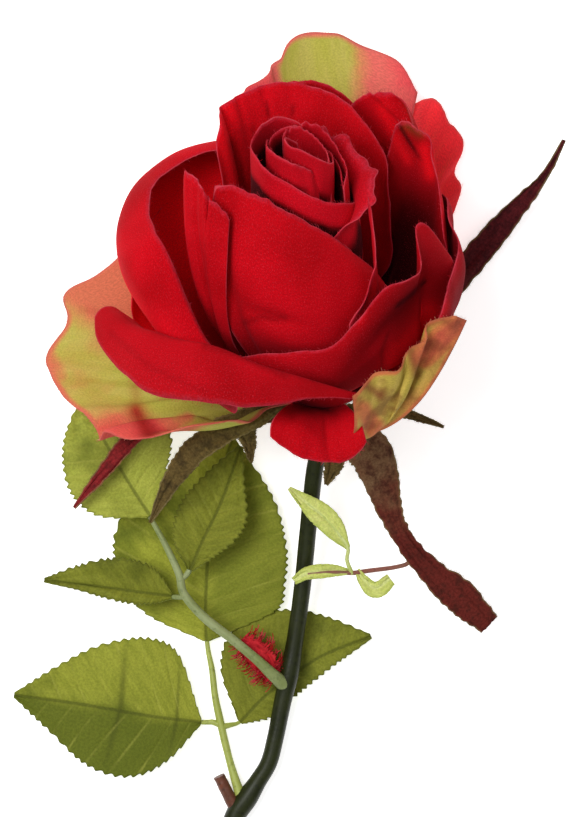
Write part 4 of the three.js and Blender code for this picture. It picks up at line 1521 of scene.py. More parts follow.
@dataclass
class RedBloom:
    """The red petals, from the rolled heart to the flared outer ones, on their core."""

    heart_shift: Station = (4.0, 1.0)

    def heart(self) -> Whorl:
        """The tight heart.

        Returns:
            Its whorl.
        """
        common = {"waist": 0.9, "shift": self.heart_shift, "crumple": 0.15, "ruffle": 0.2, "pleats": 0.15,
                  "corner": 0.03}
        # Each heart petal's sink sets where painted shade deepens below its rim.
        petals = [
            Petal("heart_roll",
                  [[-170, 3, 83], [-90, 3.8, 86.2], [-44, 4.6, 86], [0, 5.6, 85.2], [36, 7, 82],
                   [70, 7.6, 78.5], [105, 7.6, 77.5], [140, 7.4, 78.5]],
                  (5, 44), (6.5, 70), (3, 21), sink=(9, 12), **common),
            Petal("heart_left_fold",
                  [[-110, 8, 86], [-63, 8.5, 85.5], [-42, 8.5, 85], [-22, 8.3, 84], [-6, 7.8, 82.4],
                   [10, 6.8, 80.5], [26, 5.4, 78]],
                  (10, 36), (10, 64), (4, 21), sink=(5, 8), **common),
            Petal("heart_right_fold",
                  [[75, 8.5, 74.5], [105, 8.5, 75.3], [134, 8.5, 76.9], [157, 8.5, 79.7], [180, 8.5, 82.9],
                   [200, 8.5, 83.6], [220, 8.5, 83.3], [250, 8, 84.5]],
                  (10, 36), (10, 64), (4, 21), sink=(1, 4), **common),
            Petal("heart_front_fold",
                  [[-188, 11, 83], [-165, 12, 85], [-140, 12, 85.5], [-118, 12, 84.3], [-98, 12, 83.5],
                   [-78, 12, 84.3],
                   [-60, 12, 84.2], [-40, 12, 82.4], [-18, 12, 79.8], [4, 12, 76.2], [24, 12, 73],
                   [45, 12.2, 70.8], [75, 12, 68]],
                  (14, 36), (14, 60), (5, 21), sink=(6, 7.6), rows=113, **common),
            Petal("heart_right_lip",
                  [[5, 12.5, 64.5], [30, 12.7, 67], [55, 12.5, 71.5], [80, 12, 73.5], [105, 11.7, 74],
                   [130, 11.5, 76.5], [150, 11.2, 80.5], [168, 11, 83.5]],
                  (16, 34), (15, 56), (5, 21), waist=0.85, shift=(3.0, 1.0),
                  lips=(1, 3, 7.5, 8, 7.5, 7, 6, 4.5),
                  lip_from=0.86, dip=0.35, crumple=0.2, ragged=0.6, fuzz=3.0, sink=(9, 13)),
            Petal("heart_thin_fold", [[60, 6.3, 80], [100, 6.3, 80], [140, 6.5, 81], [180, 6.5, 84],
                                      [220, 6.5, 85]],
                  (7, 38), (7.5, 66), (3.5, 23), ragged=0.3, **common),
            Petal("heart_thin_outer_fold",
                  [[60, 10, 74], [90, 10.2, 75.5], [125, 10.3, 78], [150, 10.3, 82], [175, 10, 84.5]],
                  (11, 38), (11, 64), (4.5, 23), ragged=0.3, **common),
        ]
        return Whorl("heart", "heart_petals", "petal_red", petals, HEART_RED, RED_THREAD, 0.9)

    def inner(self) -> Whorl:
        """The inner petals round the heart.

        Returns:
            Their whorl.
        """
        petals = [
            # Painted shade: its strokes darken two soft wrinkles.
            Petal("inner_front_petal",
                  [[-54, 21, 86], [-36, 19.5, 83.6], [-20, 18.8, 81], [-4, 18.5, 76.6], [11.8, 18.5, 71.8],
                   [25, 18.5, 66.3], [38, 19.5, 60.8], [52, 21, 52.3], [64, 22, 44]],
                  (28, 24), (32, 48), (6, 17), waist=0.7, opening=1.15, corner=0.03, crumple=0.3, pleats=0.2,
                  bends=[(0.62, 0.03, 1.1, 0.24, 0.12), (0.53, 0.05, -0.9, 0.32, 0.16)],
                  creases=(Crease(0.06, 0.04, 1.8, 0.3),),
                  strokes=(Stroke(StrokeKind.SHADE, ((246, 322), (262, 317), (284, 318)), 4, 0.45),
                           Stroke(StrokeKind.SHADE, ((296, 338), (330, 330)), 5, 0.2))),
            Petal("inner_left_petal",
                  [[-74, 26, 86.5], [-63.5, 27, 87.7], [-54.6, 26, 86], [-47.8, 26, 82.4], [-37.5, 24, 80.6]],
                  (26, 24), (34, 54), (6, 17), waist=0.0, opening=0.9, narrowing=-55, corner=0.04,
                  creases=(Crease(0.45, 0.06, 1.0, 0.3), Crease(0.7, 0.03, 0.9, 0.85))),
            # Painted light brightens its left end; strokes of painted shade darken its wrinkles.
            Petal("inner_back_petal",
                  [[238, 11, 87.5], [217, 13.5, 86.8], [197, 17.5, 84.8], [178, 19, 84.8], [161, 19.5, 82.4],
                   [145, 21, 78], [129, 24, 66.9], [118, 24, 59.5]],
                  (28, 24), (28, 54), (6, 17), lips=(11.5, 12, 11.5, 12, 11.5, 10, 8, 5), lip_from=0.7,
                  pleats=0.7, glow=(0.6, 0.5, 0.3, 0, 0, 0, 0, 0),
                  strokes=(Stroke(StrokeKind.SHADE, ((231, 142), (236, 158), (246, 188)), 4, 0.6),
                           Stroke(StrokeKind.SHADE, ((267, 102), (268, 118)), 2, 0.55),
                           Stroke(StrokeKind.SHADE, ((294, 105), (291, 116)), 2, 0.5),
                           Stroke(StrokeKind.SHADE, ((252, 128), (256, 150)), 3, 0.4),
                           Stroke(StrokeKind.SHADE, ((242, 132), (248, 186)), 8, 0.3)),
                  creases=(Crease(0.375, 0.012, 1.0, 0.84), Crease(0.47, 0.014, 0.9, 0.86),
                           Crease(0.62, 0.02, 0.7, 0.8), Crease(0.26, 0.016, 0.8, 0.84),
                           Crease(0.18, 0.025, 1.8, 0.6, slant=0.03), Crease(0.08, 0.045, -1.8, 0.5))),
            Petal("inner_right_petal",
                  [[18, 30, 50.5], [26, 29, 53.6], [35, 27.5, 58.9], [40, 26.5, 62], [44, 25, 67.8],
                   [46, 24, 74], [48, 23, 79]],
                  (24, 22), (30, 46), (6, 17), waist=0.8, corner=0.05, lips=(1, 1.5, 1.5, 1.5, 1.5, 1.5, 1.5),
                  lip_from=0.9, ragged=0.25, fuzz=2.5),
        ]
        return Whorl("inner", "inner_petals", "petal_red", petals, RED, RED_THREAD)

    def middle(self) -> Whorl:
        """The middle petals.

        Returns:
            Their whorl.
        """
        petals = [
            # Painted light on its inner face; a stroke of painted shade darkens the corner under the outer
            # front left petal.
            Petal("middle_left_petal",
                  [[-185, 30, 58], [-168, 30, 62], [-150, 31, 64.5], [-134, 33, 66.7], [-117, 34.5, 68.6],
                   [-100, 34.5, 70], [-82, 34.5, 69], [-64, 34.5, 66], [-46, 34, 50], [-28, 33, 42.5]],
                  (30, 22), (60, 68), (6, 13.5), waist=0.6, crest=(0, 1, 1, 0, -1.5, -2.5, -2, -2.5, -5, -10),
                  shade=(1, 0.6, 0, 0, 0, 0), sink=(50, 80), glow=(1, 1), painted_light_rows=(0, 0.3, 1, 0.8, 0, 0),
                  strokes=(Stroke(StrokeKind.SHADE, ((222, 404), (240, 410)), 8, 0.8),)),
            # Painted shade along slits, a dark line and its body; painted light on a lit streak and the lobe
            # by the right guard.
            Petal("middle_front_petal",
                  [[-50, 31, 38], [-27, 31, 43], [-6, 31, 44], [8, 31.5, 45], [21, 32, 51], [33, 32, 58],
                   [46, 30, 58.2], [56, 29.5, 57.2], [61, 30, 65.7], [67, 33.5, 64.2], [76, 38, 52]],
                  (24, 24), (42, 38), (6, 13.5), lips=(0, 0, 0, 0.5, 1, 2.5, 5.5, 5, 3, 1.5, 0), waist=0.6,
                  lip_from=0.8, corner=0.04, fuzz=0.8, shade=(1, 0.8, 0.1, 0.1, 0.3, 0.45, 0.45, 0.25),
                  sink=(50, 80), bends=[(0.5, 0.11, -3.5, 0.66, 0.24), (0.77, 0.07, 1.2, 0.58, 0.16)],
                  strokes=(Stroke(StrokeKind.SHADE, ((396, 306), (410, 295), (424, 281)), 4, 0.95),
                           Stroke(StrokeKind.SHADE, ((381, 374), (381, 352), (388, 332)), 3.5, 0.75),
                           Stroke(StrokeKind.SHADE, ((352, 352), (372, 330), (392, 312), (420, 290)), 13, 0.55),
                           Stroke(StrokeKind.GLOW, ((366, 294), (360, 320)), 4.5, 0.4),
                           Stroke(StrokeKind.GLOW, ((392, 366), (398, 350), (412, 334), (430, 312)), 12, 1))),
            # Painted shade low down and a stroke of painted light on its lit band; the brown at the top is a
            # stain.
            Petal("middle_back_petal",
                  [[112, 35, 52], [121, 38, 60], [129, 41, 69.5], [137, 41.5, 72], [145, 40, 72.5],
                   [152, 39, 69], [162, 36.5, 64]],
                  (30, 22), (48, 46), (6, 13.5), lips=(0.5, 1, 1, 1, 1, 1, 0.5), corner=0.05,
                  stain=(0, 0.7, 0.6, 0, 0, 0, 0), shade=(1, 1, 1, 0.9, 0.5, 0.1, 0),
                  strokes=(Stroke(StrokeKind.GLOW, ((382, 108), (394, 132)), 7, 0.6),),
                  creases=(Crease(0.5, 0.05, -1.3, 0.72, slant=2.0),
                           Crease(0.6, 0.03, 1.0, 0.72, slant=2.0))),
            # Painted shade low down and along a dark line, painted light on two bright places, and a brown
            # stain.
            Petal("middle_back_right_petal",
                  [[92, 35.5, 50], [102, 37, 58], [106.5, 37.5, 66], [109, 37, 71.5], [115, 36, 73.6],
                   [122.5, 34, 72.7], [128, 33, 64], [136, 33, 56]],
                  (28, 20), (41, 42), (6, 13.5), corner=0.03, shade=(1, 1, 1, 1, 0.9, 0.3, 0),
                  strokes=(Stroke(StrokeKind.SHADE, ((398, 122), (408, 139), (421, 158)), 2.4, 0.9),
                           Stroke(StrokeKind.STAIN_AND_FOLD_SHADE, ((408, 125), (420, 132)), 5, 0.7),
                           Stroke(StrokeKind.GLOW, ((424, 148), (431, 174)), 7, 0.9),
                           Stroke(StrokeKind.GLOW, ((396, 138), (408, 160)), 6, 0.5))),
        ]
        return Whorl("middle", "middle_petals", "petal_red", petals, RED, RED_THREAD)

    def outer(self) -> Whorl:
        """The outer petals.

        Returns:
            Their whorl.
        """
        petals = [
            # Painted shade towards the rim and in two darker streaks.
            Petal("outer_front_left_petal",
                  [[-77, 53, 47], [-66, 54, 42], [-51, 52, 38.5], [-34, 49.5, 40], [-17, 47, 39.5],
                   [0, 44, 38.7], [14, 43, 34]],
                  (40, 26), (45, 68), (6, 10), waist=0.65, corner=0.03, crest=(-12, 1, 12, 13, -1, -17, -24),
                  pleats=0.5, shade=(1, 1, 0.6, 0.2, 0.2, 0.2),
                  strokes=(Stroke(StrokeKind.SHADE, ((112, 334), (150, 366), (205, 392)), 7, 0.32),
                           Stroke(StrokeKind.SHADE, ((205, 346), (240, 356), (285, 376)), 7, 0.4))),
            Petal("outer_front_lobe",
                  [[-17.5, 44, 26.6], [-12, 44, 23.4], [-3, 44, 19.4], [5, 44, 17.7], [13, 44, 21.5]],
                  (24, 20), (42, 34), (6, 10), waist=0.7, opening=1.0, narrowing=4, corner=0.02, crumple=0.6,
                  creases=(Crease(0.35, 0.07, 0.5, 0.5), Crease(0.62, 0.05, -0.5, 0.5))),
            # Painted shade along a dark slit and in its body; painted light on the lobe beside the right
            # guard.
            Petal("outer_right_petal",
                  [[22, 41.6, 38], [42, 42.2, 45.5], [60, 39, 49], [76, 38, 48.5], [90, 37.5, 50],
                   [101, 38, 52.5], [111, 39, 52.5], [119, 40, 51]],
                  (29, 17), (45, 38), (6, 10), lips=(1, 1, 1.2, 1.2, 1.2, 1, 1, 0.5), corner=0.04,
                  fuzz=1.3, shade=(1, 0.6, 0.3, 0.4, 0.7, 0.75, 0.35), sink=(50, 80),
                  strokes=(Stroke(StrokeKind.SHADE, ((396, 306), (410, 295), (440, 268)), 6, 0.9),
                           Stroke(StrokeKind.GLOW, ((392, 366), (398, 350), (412, 334), (434, 306)), 12, 1))),
            Petal("outer_back_petal",
                  [[198, 40, 66], [180, 40.5, 73], [169, 41, 74.5], [157, 42, 70], [147, 43, 60]],
                  (30, 16), (52, 46), (6, 10)),
            # A stroke of painted light on the part seen beneath the middle left petal.
            Petal("outer_left_petal",
                  [[-178, 42, 52], [-155, 41.5, 53], [-130, 42, 51], [-112, 42, 48], [-96, 42, 42]],
                  (30, 16), (50, 34), (6, 10), shade=(1, 0.5, 0, 0), sink=(50, 80),
                  strokes=(Stroke(StrokeKind.GLOW, ((132, 302), (152, 328)), 14, 1),)),
        ]
        return Whorl("outer", "outer_petals", "petal_red", petals, RED, RED_THREAD)

    def make(self, dresser: Dresser) -> None:
        """Makes all the red petals and the core that they stand on.

        Args:
            dresser: who dresses the pieces.
        """
        for whorl in (self.heart(), self.inner(), self.middle(), self.outer()):
            whorl.make(dresser)
        profile = [(0, 8.3), (7.5, 8.3), (8, 11.5), (8.4, 15), (8.8, 18.5), (7, 22), (5.5, 25), (0, 25)]
        core = MeshMaker.turned("petal_core", BLOOM, profile)
        dresser.dress(core, CORE, ["heart_petals", "inner_petals", "middle_petals",
                                                "outer_petals"])


@dataclass
class Guards:
    """The yellow-green and coral petals outside the red ones."""

    def whorl(self) -> Whorl:
        """The guard petals.

        Returns:
            Their whorl.
        """
        petals = [
            Petal("guard_top_petal",
                  [[194, 56, 55], [189, 58, 60.7], [185.8, 60, 62.3], [181, 63, 62.4], [179.5, 66.5, 63.4],
                   [176.7, 69, 64], [174.7, 72.5, 66.5], [171, 76.5, 66], [166.5, 77, 65], [161, 76, 61],
                   [154, 76, 58.5], [149.7, 74, 52]],
                  (34, 12), (60, 46), (5, 6), wave=(0.6, 4, 0), corner=0.03, ruffle=0.4, crumple=0.9,
                  blush=(1.1, 1.1, 1.1, 1.0, 0.8, 0.3, 0.0, 0.0, 0.1, 0.6, 1.0, 1.1), blush_reach=3,
                  pleats=0.8),
            Petal("guard_top_right_petal",
                  [[152, 73, 48], [147, 75, 48.5], [143.5, 75, 43], [140.5, 72, 36], [138.5, 66.5, 29.5],
                   [135, 60, 25]],
                  (30, 12), (56, 33), (5, 6), wave=(1, 3, 1), corner=0.04, ruffle=0.3, crumple=0.7,
                  blush=(1.0, 1.1, 1.2, 1.2, 1.2, 1.2), blush_reach=12, pleats=0.7),
            Petal("guard_right_petal",
                  [[10, 45, 40], [20.4, 45, 42.5], [28.8, 45.5, 42.5], [34.5, 46, 47], [39.2, 47.5, 50],
                   [44.4, 49.5, 52.5], [50.4, 53, 51]],
                  (40, 9), (45, 31), (5, 6), wave=(1.5, 3.4, 0.2), pleats=0.2, corner=0.03,
                  strokes=(Stroke(StrokeKind.STAIN_AND_FOLD_SHADE, ((411, 352), (417, 374)), 6, 0.8),
                           Stroke(StrokeKind.STAIN_AND_FOLD_SHADE, ((366, 386), (380, 394)), 5, 0.8),
                           Stroke(StrokeKind.STAIN_AND_FOLD_SHADE, ((430, 322), (446, 316)), 5, 0.6),
                           Stroke(StrokeKind.BLUSH, ((424, 356), (442, 338), (464, 322)), 14, 1.25),
                           Stroke(StrokeKind.BLUSH, ((362, 410), (378, 434)), 13, 0.85)), waist=0.1, opening=0.84,
                  narrowing=9, ruffle=0.4, crumple=0.8,
                  bends=[(0.72, 0.1, 1.3, 0.3, 0.09), (0.72, 0.12, -1.1, 0.5, 0.1),
                         (0.7, 0.12, 1.2, 0.72, 0.09)],
                  blush=(0.4, 0.2, 0, 0.1, 0.2, 0.4, 0.5), blush_reach=2.5, blush_from=0.3),
            Petal("guard_left_petal",
                  [[-118, 50, 43], [-117, 59, 34], [-115, 66, 28], [-112, 66.5, 22.5], [-109, 68, 18.5],
                   [-105, 70, 14.5], [-100, 68.5, 12.5], [-95, 62, 9], [-90, 59, 7.6], [-84, 57, 5.6],
                   [-77, 54, 7.6], [-70, 48, 11.2], [-62, 38, 15.6], [-54, 30, 17]],
                  (24, 5), (48, 12), (5, 6), wave=(1.0, 5, 0), corner=0.02, ruffle=0.4, crumple=0.9,
                  blush=(0.85, 0.85, 0.75, 0.5, 0.4, 0.35, 0.4, 0.4, 0.5, 0.95, 1.1, 1.0, 0.6, 0.4),
                  blush_reach=4, pleats=0.8,
                  # The stain strokes here are painted shade in the petal's folds.
                  strokes=(Stroke(StrokeKind.STAIN_AND_FOLD_SHADE, ((136, 411), (143, 424), (150, 437)), 9, 0.95),
                           Stroke(StrokeKind.STAIN_AND_FOLD_SHADE, ((150, 428), (154, 438)), 8, 0.8),
                           Stroke(StrokeKind.STAIN_AND_FOLD_SHADE, ((135, 386), (137, 404)), 7, 0.35),
                           Stroke(StrokeKind.STAIN_AND_FOLD_SHADE, ((82, 309), (97, 312)), 4, 0.25),
                           Stroke(StrokeKind.BLUSH, ((100, 430), (118, 424), (130, 430)), 13, 1),
                           Stroke(StrokeKind.BLUSH, ((162, 430), (188, 418)), 9, 0.65),
                           Stroke(StrokeKind.BLUSH, ((50, 358), (60, 376)), 14, 0.6)),
                  creases=(Crease(0.77, 0.025, 3.0, 0.4), Crease(0.6, 0.03, 1.4, 0.3),
                           Crease(0.4, 0.03, 1.2, 0.3),
                           Crease(0.68, 0.03, -1.4, 0.4))),
            Petal("guard_back_petal", [[-172, 53, 32], [-160, 60.3, 36], [-148, 61.3, 34], [-138, 53, 30]],
                  (28, 10), (48, 26), (5, 6)),
        ]
        return Whorl("guard", "guard_petals", "guard_green", petals, GUARD, PALE_THREAD,
                     finishes={"guard_right_petal": GUARD_RIGHT, "guard_top_right_petal": GUARD_PINK,
                               "guard_top_petal": GUARD_TOP})

    def make(self, dresser: Dresser) -> None:
        """Makes the guard petals and their ring.

        Args:
            dresser: who dresses the pieces.
        """
        self.whorl().make(dresser)
        ring = MeshMaker.turned("guard_ring", BLOOM, [(0, 4.6), (7, 4.6), (7.5, 8), (0, 8)])
        dresser.dress(ring, CORE, ["guard_petals"])


OLIVE = SepalFinish("olive sepal cloth")
OLIVE_RED = SepalFinish("red tipped sepal cloth", foot=(116, 88, 62), tip=(96, 36, 30),
                        mottle=(62, 30, 24), change=(0.25, 0.65))
DARK_RED = SepalFinish("dark red sepal cloth", foot=(84, 36, 34), tip=(84, 28, 32),
                       mottle=(50, 20, 22))
SMALL_RED = SepalFinish("red sepal cloth", foot=(96, 60, 40), tip=(126, 36, 38),
                        mottle=(84, 30, 30), change=(0.3, 0.55))


@dataclass
class Calyx:
    """The cup under the bloom with its sepals."""

    cup: Sequence[Station] = ((0, -3), (3.4, -3), (4.6, -1.2), (6.0, 0.8), (6.9, 2.6), (7.0, 4.0), (6.4, 4.3),
                              (0, 4.3))

    def sepals(self) -> list[Blade]:
        """The sepals with the side tooth and the side lobe.

        Returns:
            Their blades.
        """
        common = {"slot": "sepal_brown", "node": "calyx", "wave": 0.5, "crumple": 0.35, "ragged": 0.22,
                  "rows": 121, "cols": 25}
        return [
            Blade("sepal_left_front",
                  [[312, 413, 24], [283, 405, 30], [250, 420, 33], [215, 436, 33], [188, 458, 30],
                   [168, 488, 26], [150, 523, 21]],
                  (1.5, 2.2, 2.8, 3.4, 3.2, 2.2, 0.4), (1.5, 3, 3.4, 3.6, 3.2, 2.2, 0.4), OLIVE, fold=-0.25,
                  **common),
            Blade("sepal_lower_right",
                  [[326, 416, 24], [350, 432, 30], [372, 455, 32], [384, 490, 29], [398, 530, 24],
                   [425, 565, 19], [460, 597, 15], [490, 625, 12]],
                  (1.5, 5, 5.5, 4.2, 2.6, 3, 4.4, 3), (1.5, 5, 5.5, 4.2, 2.6, 3, 4.4, 3), OLIVE_RED,
                  fold=-0.2, **common),
            Blade("sepal_right_small", [[328, 412, 22], [360, 412, 22], [395, 411, 22], [420, 418, 21],
                                        [444, 427, 20]],
                  (1.5, 2.4, 1.6, 1, 0.35), (1.5, 2.4, 1.6, 1, 0.35), OLIVE, fold=-0.2, **common),
            Blade("sepal_upper_right",
                  [[322, 410, 23], [348, 388, 15], [395, 345, 8], [455, 280, 4], [505, 222, 6],
                   [543, 178, 10], [564, 140, 13]],
                  (1.5, 3.2, 4, 3.6, 3, 1.2, 0.5), (1.5, 3.2, 4, 3.6, 3, 1.2, 0.5), DARK_RED, fold=0.15,
                  **common),
            Blade("sepal_left",
                  [[308, 412, 21], [250, 414, 21.5], [190, 417, 22], [140, 432, 21.5], [106, 469, 20.5],
                   [74, 508, 19]],
                  (1.5, 3, 2.8, 2.2, 1.9, 0.4), (1.5, 3, 2.8, 2.2, 1.9, 0.4), SMALL_RED, fold=-0.15,
                  **common),
            Blade("sepal_side_tooth", [[243, 421, 32.6], [248, 442, 31.4], [251, 463, 28]],
                  (3, 2.2, 0.3), (3, 1.8, 0.3), OLIVE, fold=-0.1, **common),
            Blade("sepal_stem_lobe", [[328, 418, 24], [336, 440, 25], [334, 462, 23.5], [326, 485, 20]],
                  (1.6, 3, 2.8, 0.5), (1.6, 3, 2.6, 0.5), OLIVE, fold=-0.15, **common),
        ]

    def make(self, dresser: Dresser) -> None:
        """Makes the cup, the sepals and their fuzzy edges.

        Args:
            dresser: who dresses the pieces.
        """
        dresser.dress(MeshMaker.turned("calyx_cup", BLOOM, self.cup), CUP, ["calyx"])
        edges = []
        for sepal in self.sepals():
            points = sepal.make(dresser)
            edges.append((points[:, 0], unit(points[:, 0] - points[:, 2])))
            edges.append((points[:, -1], unit(points[:, -1] - points[:, -3])))
        Fringe("sepal_frayed_edges", OLIVE_THREAD, "sepal_brown", "calyx", spacing=0.5, shortest=0.2,
               longest=0.6).make(edges, dresser)


CUP = PlasticFinish("calyx plastic", main=(74, 84, 40), cloud=(96, 90, 46), speckle=(60, 44, 26))
OLIVE_THREAD = ThreadFinish("olive thread", main=(120, 110, 66), other=(84, 60, 40))
STEM = PlasticFinish("stem plastic", roughness=0.35, specular=0.22, main=(26, 31, 8), cloud=(40, 45, 14),
                     speckle=(16, 20, 6))
GREY_STALK = PlasticFinish("grey green plastic", main=(122, 134, 76), cloud=(150, 160, 112),
                           speckle=(96, 108, 60))
LIME_STALK = PlasticFinish("lime plastic", main=(148, 158, 66), cloud=(172, 182, 92),
                           speckle=(112, 124, 44))
STUB_BROWN = PlasticFinish("brown plastic", main=(112, 60, 38), cloud=(88, 50, 34),
                           speckle=(60, 34, 24), patches=160.0, relief=0.15)
SPRIG_GREEN = LeafFinish("pale sprig cloth", light=(204, 210, 124), middle=(188, 200, 100),
                         dark=(160, 176, 76), back=(196, 204, 130), rib=(206, 212, 146))
SPRIG_STALK = PlasticFinish("pale green plastic", roughness=0.5, main=(176, 190, 100),
                            cloud=(200, 208, 140), speckle=(150, 168, 76), patches=120.0)
SPRIG_BROWN = PlasticFinish("pinkish brown plastic", main=(136, 78, 66), cloud=(120, 96, 70),
                            speckle=(90, 50, 44))
# Painted shade on one half of the leaflet.
LEAF_HALF = LeafFinish("leaf cloth with a shaded side", light=(150, 154, 54), middle=(128, 134, 42),
                       shaded_side=0.92)
# Painted shade on the right half of the leaflet.
LEAF_RIGHT = LeafFinish("leaf cloth with a shaded right side", shaded_side=-0.6)
LEAF_PALE = LeafFinish("paler leaf cloth", light=(170, 176, 74), middle=(150, 158, 60),
                       dark=(104, 112, 36))
LEAF_DARK = LeafFinish("darker leaf cloth", light=(128, 132, 44), middle=(108, 113, 34),
                       dark=(78, 84, 24), pale_rib=(134, 136, 56))
STIPULE_RED = LeafFinish("stipule cloth", light=(196, 44, 50), middle=(178, 30, 40),
                         dark=(120, 30, 30), back=(170, 60, 60), rib=(120, 20, 26))


@dataclass
class Leaf:
    """A leaf: its plastic stalk with the ribs under the leaflets, and the cloth leaflets."""

    stalk: Sequence[Bar]
    leaflets: Sequence[Blade]

    def make(self, dresser: Dresser) -> None:
        """Makes the stalk and the leaflets.

        Args:
            dresser: who dresses the pieces.
        """
        for bar in self.stalk:
            bar.make(dresser)
        for leaflet in self.leaflets:
            leaflet.make(dresser)


def upper_leaf() -> Leaf:
    """The leaf beside the bloom.

    Returns:
        The leaf.
    """
    node = "upper_leaf_stalk"
    common = {"slot": "leaf_green", "teeth": 21, "veins": 9}
    stalk = [
        Bar("upper_leaf_main_stalk",
            [[286, 686, 6.6], [272, 674, 9.4], [256, 659, 10.8], [232, 639, 11.6], [205, 618, 12],
             [184, 594, 12.2],
             [179, 574, 12.2], [166, 546, 12.1], [150, 517, 11.9], [126, 478, 12.9], [104, 440, 13.9],
             [90, 413, 13.4]],
            (2, 1.6, 1.3, 1.2, 1.2, 1.1, 1, 0.8, 0.6, 0.5, 0.45, 0.35), GREY_STALK, "stalk_grey_green", node),
        Bar("upper_leaf_left_rib",
            [[186, 597, 12.2], [176, 597, 11], [165, 596, 9.9], [130, 591, 10.3], [95, 586, 9.8],
             [62, 582, 8]],
            (0.7, 0.65, 0.55, 0.5, 0.45, 0.3), GREY_STALK, "stalk_grey_green", node),
        Bar("upper_leaf_right_rib",
            [[180, 580, 12.2], [189, 571, 11.9], [203, 540, 12.3], [222, 500, 11.8], [237, 458, 10.4]],
            (0.8, 0.7, 0.5, 0.45, 0.3), GREY_STALK, "stalk_grey_green", node),
    ]
    leaflets = [
        Blade("upper_leaf_tip_leaflet_cloth", [[150, 516, 13], [126, 478, 14], [104, 440, 15], [82, 398, 14]],
              (0.8, 11, 14, 13, 9, 0.7), (0.8, 9, 15, 16, 11, 0.7), LEAF_PALE, node="upper_leaf_tip_leaflet",
              fold=0.12, droop=0.004, **common),
        Blade("upper_leaf_left_leaflet_cloth", [[172, 596, 11], [140, 592, 11.5], [95, 586, 11],
                                                [44, 580, 8]],
              (0.8, 2.6, 3.2, 2.6, 1.4, 0.5), (0.8, 6, 8, 7.5, 4.5, 0.5), LEAF_DARK,
              node="upper_leaf_left_leaflet", fold=0.3, **common),
        Blade("upper_leaf_right_leaflet_cloth", [[190, 570, 13], [203, 540, 13.5], [222, 500, 13],
                                                 [241, 446, 11]],
              (0.8, 6.5, 9, 9, 6, 0.6), (0.8, 4, 7, 8, 4, 0.6), LEAF_DARK, node="upper_leaf_right_leaflet",
              fold=0.15, **common),
    ]
    return Leaf(stalk, leaflets)


def lower_leaf() -> Leaf:
    """The leaf near the lower end.

    Returns:
        The leaf.
    """
    node = "lower_leaf_stalk"
    common = {"slot": "leaf_green", "teeth": 24, "veins": 8}
    stalk = [
        Bar("lower_leaf_main_stalk",
            [[243, 803, 4.2], [236, 782, 3.8], [230, 762, 3.1], [224, 738, 2.5], [220, 720, 2.3],
             [215, 696, 2.2],
             [212, 670, 1.9], [207, 641, 1.45], [206, 590, 2.25], [212, 520, 2.85], [228, 452, 2.1]],
            (1.6, 1.2, 1, 1, 1, 0.9, 0.8, 0.6, 0.5, 0.45, 0.35), LIME_STALK, "stalk_lime", node),
        Bar("lower_leaf_left_rib",
            [[223, 726, 2.4], [212, 722, 2.2], [200, 722, 2.05], [150, 716, 3.05], [80, 704, 2.85],
             [34, 698, 1.9]],
            (0.9, 0.7, 0.6, 0.5, 0.45, 0.35), LIME_STALK, "stalk_lime", node),
        Bar("lower_leaf_right_rib",
            [[221, 727, 2.4], [230, 725, 1.9], [241, 721, 1.1], [262, 700, 0.95], [310, 668, 1.05],
             [352, 645, 1.2]],
            (0.9, 0.7, 0.5, 0.5, 0.45, 0.35), LIME_STALK, "stalk_lime", node),
    ]
    leaflets = [
        Blade("lower_leaf_tip_leaflet_cloth", [[206, 641, 2.6], [206, 590, 3.4], [212, 520, 4],
                                               [232, 437, 3]],
              (0.8, 16, 23, 24, 14, 0.7), (0.8, 18, 20.5, 20, 15, 0.7), LEAF_RIGHT,
              node="lower_leaf_tip_leaflet",
              fold=0.05, droop=0.001, **common),
        # Painted shade on one half and two bars of painted rib shadow.
        Blade("lower_leaf_left_leaflet_cloth", [[201, 722, 3.2], [150, 716, 4.2], [80, 704, 4],
                                                [14, 695, 2.6]],
              (0.8, 11, 16.5, 15, 8, 0.6), (0.8, 16.5, 20, 16.5, 9, 0.6), LEAF_HALF,
              node="lower_leaf_left_leaflet", fold=0.06, rib_shadow_places=(0.165, 0.48), **common),
        Blade("lower_leaf_right_leaflet_cloth",
              [[240, 722, 2.2], [270, 692, 2.0], [318, 658, 2.2], [371, 636, 2.4]],
              (0.8, 13, 19, 16.5, 9, 0.6), (0.8, 5, 5, 4.5, 3, 0.6), LEAF_DARK,
              node="lower_leaf_right_leaflet",
              fold=0.02, **common),
    ]
    return Leaf(stalk, leaflets)


